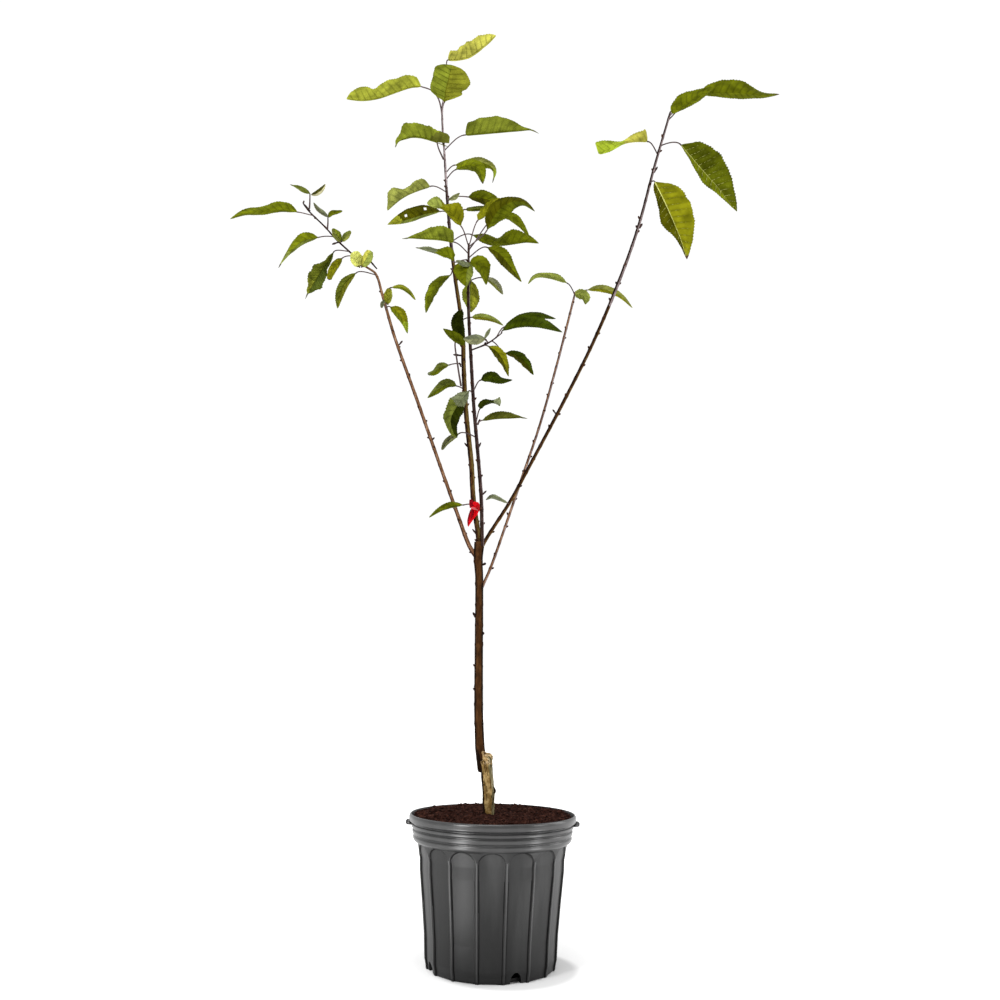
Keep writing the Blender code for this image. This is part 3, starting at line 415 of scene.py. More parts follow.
def build_pot():
    plastics = []
    # the crest material paints a highlight on the rib crests, the outline material paints shade in the steps round the
    # sunken panels
    for name, spec, lo, hi, c in (('pot_plastic_mat', .30, .32, .44, (.012, .020, .044)),
                                  ('pot_collar_mat', .75, .24, .36, (.008, .014, .026)),
                                  ('pot_crest_mat', .50, .30, .45, (.045, .065, .100)),
                                  ('pot_outline_mat', .10, .40, .55, (.003, .005, .010))):
        m, nt, p = mat(name, .4, Specular_IOR_Level=spec)
        # painted sheen: vertical streaks of lighter and darker grey in the base colour stand in for reflections on the
        # plastic
        f = noise_tex(nt, 26, 4, .5, stretched(nt, 1.0, 1.0, .10))
        painted_sheen = ramp(nt, f, [(.30, (c[0],) * 3), (.52, (c[1],) * 3), (.72, (c[2],) * 3)])
        # painted shade: the base colour darkens towards the foot
        co = nt.nodes.new('ShaderNodeTexCoord')
        sep = nt.nodes.new('ShaderNodeSeparateXYZ')
        nt.links.new(co.outputs['Object'], sep.inputs[0])
        painted_foot_shade = nt.nodes.new('ShaderNodeMapRange')
        for k, val in zip(('From Min', 'From Max', 'To Min', 'To Max'), (.0, .20, .16, 1.0)):
            painted_foot_shade.inputs[k].default_value = val
        nt.links.new(sep.outputs['Z'], painted_foot_shade.inputs['Value'])
        mul = nt.nodes.new('ShaderNodeVectorMath')
        mul.operation = 'SCALE'
        nt.links.new(painted_sheen, mul.inputs[0])
        nt.links.new(painted_foot_shade.outputs['Result'], mul.inputs['Scale'])
        nt.links.new(mul.outputs['Vector'], p.inputs['Base Color'])
        rough_from(nt, p, f, lo, hi)
        bump(nt, p, noise_tex(nt, 700, 3), .0003, .35)
        plastics.append(m)
    m = plastics[1]
    # columns close together at the ribs, wider apart on the panels
    u = np.array([0, .6, 1.2, 1.7, 2.2, 2.7, 3.2, 3.8, 4.5, 5.4, 6.5, 7.8, 9.3, 11, 12.8, 14.8, 16.9, 19.2, 21.8, 24.54]) / 24.54
    half_pitch = math.pi / 16
    one = np.concatenate([u, 2 - u[-2:0:-1]]) * half_pitch
    th = np.concatenate([one + 2 * half_pitch * (i + .5) for i in range(16)]) - np.pi / 2
    n = len(th)
    prof = [(.0, .1086), (.0007, .1098), (.0025, .1103), (.0085, .1106), (.018, .1127), (.0565, .1144), (.1100, .1193),
            (.1590, .1243), (.1790, .1250), (.1890, .1272), (.1940, .1282), (.1990, .1290), (.2020, .1297),
            (.2036, .1312), (.2048, .1334), (.2062, .1352), (.2080, .1366), (.2100, .1374), (.2122, .1377),
            (.2138, .1372), (.2146, .1363), (.2156, .1360), (.2166, .1366), (.2180, .1382), (.2205, .1389),
            (.2230, .1391), (.2244, .1386), (.2251, .1376), (.2262, .1374), (.2271, .1386), (.2285, .1402),
            (.2310, .1411), (.2328, .1410), (.2336, .1400), (.2342, .1388), (.2356, .1386), (.2366, .1400),
            (.2376, .1430), (.2388, .1445), (.2402, .1450), (.2440, .1451), (.2462, .1449), (.2480, .1444), (.2492, .1436), (.2500, .1426)]
    pz, pr = np.array(prof).T
    zs = np.unique(np.concatenate([pz, np.linspace(.0, .182, 44), np.linspace(.182, .2045, 42), np.linspace(.2045, .25, 96)]))
    rings = []
    ang = ((th + np.pi / 2 + half_pitch) % (2 * half_pitch)) - half_pitch
    for z in zs:
        r = np.interp(z, pz, pr) * np.ones(n)
        half = half_pitch * r - .0027
        w = np.abs(ang) * r
        top = .1845 + .0185 * np.sqrt(np.clip(1 - (w / half) ** 2, 0, 1))
        inside = smooth(half + .0003, half - .0009, w) * smooth(-.0003, .0010, top - z)
        crest = np.clip(1 - (half_pitch * r - w) / .0026, 0, 1)
        sag = np.clip(1 - (w / half) ** 2, 0, 1)
        body = 1 - smooth(.2015, .2040, z)
        r = r + body * (.0009 * min(1, (z + .002) / .012) * np.sin(crest * math.pi / 2) * (1 - smooth(.184, .196, z)) - .0023 * inside - .0007 * inside * sag)
        lift = .0006 * np.clip(1 - (w / half) ** 2, 0, 1) * max(0, 1 - z / .0085)
        rings.append(np.stack([r * np.cos(th), r * np.sin(th), z + lift], 1))
    for z, r in [(.2498, .1416), (.2430, .1395), (.2250, .1340), (.2080, .1308), (.1960, .1238), (.1590, .1190),
                 (.0850, .1115), (.0060, .1030)]:
        rings.append(np.stack([r * np.cos(th), r * np.sin(th), np.full(n, z)], 1))
    marks = np.zeros((len(rings), n), int)
    for j, z in enumerate(zs):
        r = np.interp(z, pz, pr)
        half = half_pitch * r - .0027
        w = (np.abs(ang) + .0006) * r
        top = .1845 + .0185 * np.sqrt(np.clip(1 - (w / half) ** 2, 0, 1))
        if z < .2030:
            # painted shade: near-black lines along the sides and arched tops of the sunken panels
            marks[j][(w > half - .0010) & (w < half + .0002) & (z < top)] = 3
            marks[j][(np.abs(top - z) < .0008) & (w < half)] = 3
        if .003 < z < .187:
            # painted highlight: the rib crests take the lighter crest material
            marks[j][half_pitch * r - w < .0008] = 2
        if z > .2040:
            marks[j][:] = 1
    V = np.concatenate(rings + [np.array([[0, 0, 0.0006], [0, 0, .0060]])])
    F = []
    for j in range(len(rings) - 1):
        a = j * n
        for k in range(n):
            q = (k + 1) % n
            F.append((a + k, a + q, a + n + q, a + n + k))
    c0, c1 = len(V) - 2, len(V) - 1
    last = (len(rings) - 1) * n
    for k in range(n):
        q = (k + 1) % n
        F.append((q, k, c0))
        F.append((last + k, last + q, c1))
    idx = [int(marks[i // n][i % n]) for i in range(len(F) - 2 * n)] + [0] * (2 * n)
    pot = new_piece('nursery_pot', V, F, plastics, idx, stands=('pot',))
    pot.data.set_sharp_from_angle(angle=math.radians(50))
    for i in range(4):
        a = math.radians(22.5 + 90 * i)
        bm = bmesh.new()
        bmesh.ops.create_cone(bm, cap_ends=True, segments=24, radius1=.0096, radius2=.0096, depth=.03)
        bmesh.ops.rotate(bm, verts=bm.verts, cent=(0, 0, 0), matrix=Matrix.Rotation(math.pi / 2, 3, 'Y'))
        bmesh.ops.scale(bm, verts=bm.verts, vec=(1, 1, 1.5))
        me = bpy.data.meshes.new('drain_tool')
        bm.to_mesh(me)
        bm.free()
        tool = bpy.data.objects.new('drain_tool', me)
        bpy.context.scene.collection.objects.link(tool)
        tool.location = (.112 * math.cos(a), .112 * math.sin(a), .0030)
        tool.rotation_euler = (0, 0, a)
        mod = pot.modifiers.new('drain', 'BOOLEAN')
        mod.object = tool
        mod.solver = 'EXACT'
        bpy.context.view_layer.update()
        with bpy.context.temp_override(object=pot, active_object=pot):
            bpy.context.view_layer.objects.active = pot
            bpy.ops.object.modifier_apply(modifier='drain')
        bpy.data.objects.remove(tool)
    lug_v, lug_f = [], []
    for side in (-1, 1):
        bm = bmesh.new()
        bmesh.ops.create_cone(bm, cap_ends=True, segments=28, radius1=.0052, radius2=.0046, depth=.0120)
        bmesh.ops.rotate(bm, verts=bm.verts, cent=(0, 0, 0), matrix=Matrix.Rotation(side * math.pi / 2, 3, 'Y'))
        bmesh.ops.bevel(bm, geom=[e for e in bm.edges if e.is_boundary or e.calc_face_angle(0) > 1.2],
                        offset=.0016, segments=4, affect='EDGES')
        o = len(lug_v)
        bm.verts.ensure_lookup_table()
        for v in bm.verts:
            lug_v.append((v.co.x + side * .1452, v.co.y, v.co.z + .2338))
        for f_ in bm.faces:
            lug_f.append(tuple(o + v.index for v in f_.verts))
        bm.free()
    new_piece('pot_lugs', lug_v, lug_f, [m])


def build_soil():
    rng = np.random.default_rng(SEED)
    m, nt, p = mat('bark_mix_mat', .9, Specular_IOR_Level=.02)
    f = noise_tex(nt, 240, 6, .7)
    nt.links.new(ramp(nt, f, [(.3, (.005, .0016, .0012)), (.5, (.018, .0062, .0045)), (.72, (.050, .019, .013))]),
                 p.inputs['Base Color'])
    bump(nt, p, noise_tex(nt, 520, 6, .7), .0015, .8)
    m2, nt2, p2 = mat('bark_chip_mat', .85, Specular_IOR_Level=.03)
    f2 = noise_tex(nt2, 120, 4, .6)
    nt2.links.new(ramp(nt2, f2, [(.3, (.006, .002, .0014)), (.5, (.024, .0085, .006)), (.75, (.080, .032, .021))]),
                  p2.inputs['Base Color'])
    nr, na = 44, 120
    V, F = [], []

    def height(x, y):
        r = math.hypot(x, y)
        h = .2478 + .0016 * (y / .13) + .0020 * noise.noise((x * 28, y * 28, 1)) + .0012 * noise.noise((x * 90, y * 90, 4))
        h += .0008 * noise.noise((x * 260, y * 260, 9))
        edge = max(0, (r - .120) / .017)
        return h - .0018 * edge * edge
    for j in range(nr):
        r = .1365 * ((j + 1) / nr) ** .85
        for k in range(na):
            a = 2 * math.pi * k / na
            x, y = r * math.cos(a), r * math.sin(a)
            V.append((x, y, height(x, y)))
    for j in range(nr - 1):
        for k in range(na):
            q = (k + 1) % na
            F.append((j * na + k, j * na + q, (j + 1) * na + q, (j + 1) * na + k)[::-1])
    V.append((0, 0, height(0, 0)))
    for k in range(na):
        F.append(((k + 1) % na, k, len(V) - 1)[::-1])
    new_piece('soil_surface', V, F, [m], stands=('potting_soil',))
    base = np.array([[1, 0, 0], [0, 1, 0], [-1, 0, 0], [0, -1, 0], [0, 0, 1], [0, 0, -1]], float)
    tri = [(0, 1, 4), (1, 2, 4), (2, 3, 4), (3, 0, 4), (1, 0, 5), (2, 1, 5), (3, 2, 5), (0, 3, 5)]
    V, F = [], []
    for i in range(5200):
        r = .1345 * math.sqrt(rng.random())
        a = rng.random() * 2 * math.pi
        x, y = r * math.cos(a), r * math.sin(a)
        if math.hypot(x + .0069, y) < .0088:
            continue
        s = rng.choice([.0011, .0017, .0026, .0042], p=[.45, .32, .17, .06])
        b = base * (s * (1 + .5 * rng.random(3))) * np.array([1.2, .8, .55])
        b += (rng.random((6, 3)) - .5) * s * .7
        e = Matrix.Rotation(rng.random() * 6.28, 3, 'Z') @ Matrix.Rotation(rng.random() * 1.4 - .7, 3, 'X')
        b = b @ np.array(e).T
        o = len(V)
        h = height(x, y) + s * .25
        V += [(x + q[0], y + q[1], h + q[2]) for q in b]
        F += [(o + t[0], o + t[1], o + t[2]) for t in tri]
    new_piece('soil_crumbs', V, F, [m2], smooth=False)


# ------------------------------------------------------------ limbs
def skin(name, rows, sides, mats, idx, stands):
    """One closed tube through rings of equal count."""
    V = [v for row in rows for v in row]
    F = []
    for i in range(len(rows) - 1):
        for k in range(sides):
            q = (k + 1) % sides
            F.append((i * sides + k, i * sides + q, (i + 1) * sides + q, (i + 1) * sides + k))
    o = (len(rows) - 1) * sides
    V.append(sum(rows[0], Vector()) / sides)
    V.append(sum(rows[-1], Vector()) / sides)
    for k in range(sides):
        F.append((k, len(V) - 2, (k + 1) % sides))
        F.append((o + k, o + (k + 1) % sides, len(V) - 1))
    idx = idx + [idx[k // 2] if k % 2 == 0 else idx[-sides + k // 2] for k in range(2 * sides)]
    return new_piece(name, V, F, mats, idx, stands=stands)


def side_tone(d, z, lo, hi):
    """1 on the shaded flank of a stem, 2 on its lit strip, 0 between."""
    w = d.x + .16 * noise.noise((d.x * 3, z * 26, 7)) + .10 * noise.noise((d.x * 6, z * 90, 3))
    if d.y > .35:
        return 0
    return 1 if w < lo else (2 if w > hi else 0)


def stem_nodes(z0, z1, rng):
    nodes = []
    z = z0 + .01
    while z < z1:
        nodes.append(z)
        z += rng.uniform(.022, .036)
    return nodes


def limb_mesh(name, limb, z0, z1, sides, mats, stands, wob=.05, tip=False, lo=-.52, hi=.50):
    rng = random.Random(SEED + len(name))
    n = max(8, int((z1 - z0) / .0030))
    nodes = stem_nodes(z0, z1, rng)
    rows, idx = [], []
    for i in range(n + 1):
        z = z0 + (z1 - z0) * i / n
        c = centre(limb, z)
        t = (centre(limb, z + .004) - centre(limb, z - .004)).normalized()
        s = t.cross(Vector((0, 1, 0))).normalized()
        u = s.cross(t)
        r = radius(limb, z)
        for nz in nodes:
            r += .00042 * math.exp(-((z - nz) / .0022) ** 2)
        if tip:
            r *= min(1.0, math.sqrt(max(.02, (z1 - z) / .004)))
        row = []
        for k in range(sides):
            a = 2 * math.pi * k / sides
            d = s * math.cos(a) + u * math.sin(a)
            q = c + d * r
            row.append(c + d * r * (1 + wob * noise.noise((q.x * 260, q.y * 260, z * 55))
                                    + wob * .7 * noise.noise((q.x * 620, q.y * 620, z * 300))))
            if i < n:
                a += math.pi / sides
                idx.append(side_tone(s * math.cos(a) + u * math.sin(a), z, lo, hi))
        rows.append(row)
    return skin(name, rows, sides, mats, idx, stands), nodes


def trunk_mesh(mats, stands):
    """Trunk with the graft: scion and rootstock grown into one stem."""
    sides = 72
    rng = random.Random(SEED + 5)
    nodes = [.402, .436, .466, .502, .541, .575, .612, .650, .690]
    zs = list(np.arange(.2440, .3660, .0010)) + list(np.arange(.3660, .7300, .0020)) + [.7300]
    rows, idx = [], []
    for z in zs:
        z = float(z)
        low = z < .3640
        pith = Vector((hermite(COURSES['pith'] if low else COURSES['scion'], z, 1), -.0003, z))
        row = []
        for k in range(sides):
            parts = []
            for off in (0, .5):
                a = 2 * math.pi * (k + off) / sides
                d = Vector((math.cos(a), math.sin(a), 0))
                reach = []
                for limb, dy in (('scion', .0008), ('root', -.0012)):
                    first, last = COURSES[limb][0][0], COURSES[limb][-1][0]
                    zz = z + (.0042 * noise.noise((d.x * 2.2 + 5, d.y * 2.2, z * 30)) if limb == 'root' and z > .335 else 0)
                    if zz < first or zz > last:
                        reach.append(0.0)
                        continue
                    c = Vector((hermite(COURSES[limb], zz, 1), dy if low else 0, z)) - pith
                    b = d.dot(c)
                    disc = b * b - (c.length_squared - hermite(COURSES[limb], zz, 2) ** 2)
                    reach.append(max(0.0, b + math.sqrt(disc)) if disc > 0 else 0.0)
                parts.append((d, reach))
            d, (ra, rb) = parts[0]
            r = (ra ** 16 + rb ** 16) ** (1 / 16)
            q = pith + d * r
            if rb > ra:
                r += .0008 * noise.noise((q.x * 170, q.y * 170, z * 50)) + .0006 * noise.noise((q.x * 700, q.y * 700, z * 60))
                r += .0004 * noise.noise((q.x * 1200, q.y * 1200, z * 420))
                # callus folds under the union, the old cut on the right
                if .326 < z < .356:
                    r += .0011 * noise.noise((q.x * 420, q.y * 420, z * 420)) + .0005 * noise.noise((q.x * 1200, q.y * 900, z * 1200))
                for zz, ax, ay, gain, wz, wa in ((.2885, 1.0, -.15, .0034, .0052, .34), (.276, .75, -.65, .0012, .004, .3),
                                                 (.3385, -.65, -.75, .0012, .003, .3), (.2975, .0, -1.0, .0006, .0008, 1.2)):
                    w = (Vector((ax, ay, 0)).normalized() - d).length
                    r += gain * math.exp(-((z - zz) / wz) ** 2 - (w / wa) ** 2)
            else:
                r *= 1 + .035 * noise.noise((q.x * 260, q.y * 260, z * 45)) + .02 * noise.noise((q.x * 700, q.y * 700, z * 260))
                for nz in nodes:
                    w = (Vector((1 if int(nz * 1000) % 2 else -1, -.6, 0)).normalized() - d).length
                    r += .0004 * math.exp(-((z - nz) / .0026) ** 2) + .0008 * math.exp(-((z - nz) / .003) ** 2 - (w / .5) ** 2)
            row.append(pith + d * r)
            d, (ra, rb) = parts[1]
            lump = noise.noise((d.x * 9, d.y * 9, z * 260))
            # rootstock colour: painted shade on the left flank and on the left under the scion's foot, dark cracks
            # partly their own colour and partly painted shade, a dark patch on the old cut on the right, a greyer green
            # on the right flank, pale callus
            if rb > ra:
                crack = noise.noise((d.x * 14, d.y * 14, z * 60 + 3))
                if (z > .3330 and crack > .22) or crack > .40:
                    idx.append(1)
                elif z > .333 and lump > .02 and d.y < .2:
                    idx.append(5)
                elif (.2835 < z < .2945 and d.x > .80) or (z < .3285 and z > .3165 and d.x < -.55):
                    idx.append(1)
                elif d.x < -.62 + .14 * lump or (z > .335 and d.x < -.35 and lump < -.05):
                    idx.append(1)
                elif d.x > .55 + .2 * noise.noise((d.x * 5, z * 40, 2)):
                    idx.append(4)
                else:
                    idx.append(3)
            # scion colour: painted shade on its thin foot beside the rootstock and on both its flanks higher up, pale
            # callus at the union
            elif z < .3290:
                idx.append(1)
            elif z < .3545 and d.x > -.15 and lump > .02:
                idx.append(5)
            else:
                idx.append(side_tone(d, z, -.62, .66) if d.x < .3 else (1 if side_tone(d, z, -.62, .66) == 2 else 0))
        rows.append(row)
    idx = idx[:sides * (len(zs) - 1)]
    return skin('trunk_bark', rows, sides, mats, idx, stands), nodes


def spur(path, r0, r1, out):
    """Short blunt side shoot through picture places at one depth."""
    V, F = out
    o = len(V)
    n, sides = 9, 9
    for i in range(n + 1):
        s = i / n
        c = path[0] * (1 - s) + path[1] * s
        t = (path[1] - path[0]).normalized()
        a = t.cross(Vector((.2, 1, .1))).normalized()
        b = a.cross(t)
        r = r0 + (r1 - r0) * s
        if s > .75:
            r *= math.sqrt(max(.02, 1 - ((s - .75) / .25) ** 2))
        r *= 1 + .25 * math.exp(-((s - .62) / .10) ** 2)
        for k in range(sides):
            w = 2 * math.pi * k / sides
            V.append(c + (a * math.cos(w) + b * math.sin(w)) * r)
    for i in range(n):
        for k in range(sides):
            q = (k + 1) % sides
            F.append((o + i * sides + k, o + i * sides + q, o + (i + 1) * sides + q, o + (i + 1) * sides + k))
    F.append(tuple(o + n * sides + k for k in range(sides)))


# side shoots as the viewer sees them: depth, foot, tip, radii (mm)
SPURS = [(.0, (482.0, 565.0), (486.2, 563.2), 1.7, 1.5), (.003, (477.0, 535.0), (472.2, 528.8), 1.3, 1.0),
         (-.018, (482.0, 495.0), (486.6, 490.6), 1.3, 1.1), (.013, (463.5, 355.8), (453.0, 354.6), 1.1, 1.7),
         (.010, (469.5, 449.0), (464.3, 442.6), 1.1, 1.2), (-.028, (477.5, 450.0), (481.0, 442.2), 1.0, 1.2),
         (.140, (310.0, 211.0), (303.2, 203.6), 1.5, 1.6), (.119, (339.0, 242.0), (331.8, 244.4), 1.2, 1.5),
         (-.137, (654.0, 172.5), (657.6, 166.6), 1.2, 1.3), (-.127, (639.0, 229.0), (635.6, 225.4), 1.6, 1.5),
         (-.127, (639.6, 228.0), (642.4, 223.4), 1.5, 1.3), (.0, (475.6, 617.0), (472.8, 612.2), 1.9, 1.2),
         (.0, (481.0, 634.4), (484.3, 632.6), 2.2, 1.7), (.0, (474.8, 690.0), (473.2, 688.0), 1.4, 1.1),
         (-.030, (477.4, 424.8), (480.2, 418.8), 1.6, 1.0), (.012, (461.0, 367.0), (459.2, 362.4), 1.0, 1.1),
         (-.115, (617.4, 285.0), (615.4, 281.6), 1.2, 1.2), (.090, (399.0, 345.0), (402.6, 340.6), 1.2, 1.3),
         (.060, (431.0, 441.0), (434.6, 437.4), 1.1, 1.3), (-.060, (556.0, 414.0), (552.6, 409.4), 1.1, 1.2)]


def build_spurs(m):
    out = ([], [])
    for y, a, b, r0, r1 in SPURS:
        # stands on the limb that the viewer sees under its foot
        best = .012
        spans = {k: (v[0][0], v[-1][0]) for k, v in COURSES.items() if k not in ('pith', 'root', 'scion')}
        spans['left2'] = (1.290, 1.440)
        for limb, (low, high) in spans.items():
            for z in np.arange(low, high, .002):
                c = centre(limb, float(z))
                gap = (Vector(seen_at(*a, c.y)) - c).length
                if gap < best:
                    best, y = gap, c.y
        spur([Vector(seen_at(*a, y)), Vector(seen_at(*b, y - .002))], r0 * .0013, r1 * .0013, out)
    new_piece('side_spurs', out[0], out[1], [m])


def buds(limb_nodes, m):
    """Pointed side buds in a spiral on every limb."""
    V, F = [], []
    rng = random.Random(SEED)
    for limb, nodes in limb_nodes:
        for i, z in enumerate(nodes):
            if limb == 'leader' and z > 1.44 and i % 3:
                continue
            a = i * 2.4 + rng.random() * .6
            c = centre(limb, z)
            t = (centre(limb, z + .004) - centre(limb, z - .004)).normalized()
            s = t.cross(Vector((0, 1, 0))).normalized()
            u = s.cross(t)
            d = s * math.cos(a) + u * math.sin(a)
            w = t.cross(d)
            r = radius(limb, z)
            ln = rng.uniform(.0038, .0066)
            foot = c + d * (r * .75)
            ax = (d * .75 + t * .85).normalized()
            o = len(V)
            for j, (f, wd) in enumerate(((0, .0013), (.35, .0019), (.7, .0015), (.93, .0006))):
                for k in range(7):
                    b = 2 * math.pi * k / 7
                    side = w * math.cos(b) + ax.cross(w) * math.sin(b)
                    V.append(foot + ax * ln * f + side * wd)
            V.append(foot + ax * ln)
            for j in range(3):
                for k in range(7):
                    q = (k + 1) % 7
                    F.append((o + j * 7 + k, o + j * 7 + q, o + (j + 1) * 7 + q, o + (j + 1) * 7 + k))
            for k in range(7):
                F.append((o + 21 + k, o + 21 + (k + 1) % 7, o + 28))
    new_piece('side_buds', V, F, [m])


# ------------------------------------------------------------ leaves
# the viewer: place, line of sight and the two picture axes
EYE = Vector((.00444, -1.8118, .476))
PITCH, ROLL = .1795, .01484


def viewer_axes():
    f = Vector((0, math.cos(PITCH), math.sin(PITCH)))
    r0 = Vector((1, 0, 0))
    u0 = r0.cross(f)
    r = r0 * math.cos(ROLL) + u0 * math.sin(ROLL)
    u = -r0 * math.sin(ROLL) + u0 * math.cos(ROLL)
    return f, r, u


def seen_at(px, py, y):
    """Place at depth y that the viewer sees at the picture place px, py."""
    f, r, u = (np.array(a) for a in viewer_axes())
    px, py, y = np.broadcast_arrays(np.asarray(px, float), np.asarray(py, float), np.asarray(y, float))
    ray = f + r * ((px[..., None] - 500) / 1000) - u * ((py[..., None] - 500) / 1000)
    t = (y - EYE.y) / ray[..., 1]
    return np.array(EYE) + ray * t[..., None]


def through(points, t):
    """Smooth curve through the points, evenly along its length."""
    P = np.array(points, float)
    n = len(P)
    fine = []
    for i in range(n - 1):
        a, b = P[max(i - 1, 0)], P[min(i + 2, n - 1)]
        m0 = (P[i + 1] - a) / (2 if i else 1)
        m1 = (b - P[i]) / (2 if i < n - 2 else 1)
        s = np.linspace(0, 1, 24, endpoint=False)[:, None]
        fine.append(P[i] * (2 * s**3 - 3 * s**2 + 1) + P[i + 1] * (3 * s**2 - 2 * s**3)
                    + m0 * (s**3 - 2 * s**2 + s) + m1 * (s**3 - s**2))
    fine = np.concatenate(fine + [P[-1:]])
    d = np.concatenate([[0], np.cumsum(np.linalg.norm(np.diff(fine, axis=0), axis=1))])
    return np.stack([np.interp(t * d[-1], d, fine[:, k]) for k in range(P.shape[1])], -1)


def widths(w, t, blunt):
    """Smooth width law through evenly spaced values, closed at both ends."""
    w = np.array(w, float)
    x = np.linspace(0, 1, len(w))
    g = np.gradient(w, x)
    g[0], g[-1] = (w[1] - w[0]) / (x[1] - x[0]), (w[-1] - w[-2]) / (x[1] - x[0]) * 1.15
    i = np.clip(np.searchsorted(x, t, 'right') - 1, 0, len(w) - 2)
    h = x[1] - x[0]
    s = (t - x[i]) / h
    v = (w[i] * (2 * s**3 - 3 * s**2 + 1) + w[i + 1] * (3 * s**2 - 2 * s**3)
         + h * g[i] * (s**3 - 2 * s**2 + s) + h * g[i + 1] * (s**3 - s**2))
    end = .045 if blunt else .10
    v = np.maximum(v, .25) * np.sqrt(np.clip(t / end, .02, 1))
    return v * np.sqrt(np.clip((1 - t) / .03, .01, 1))


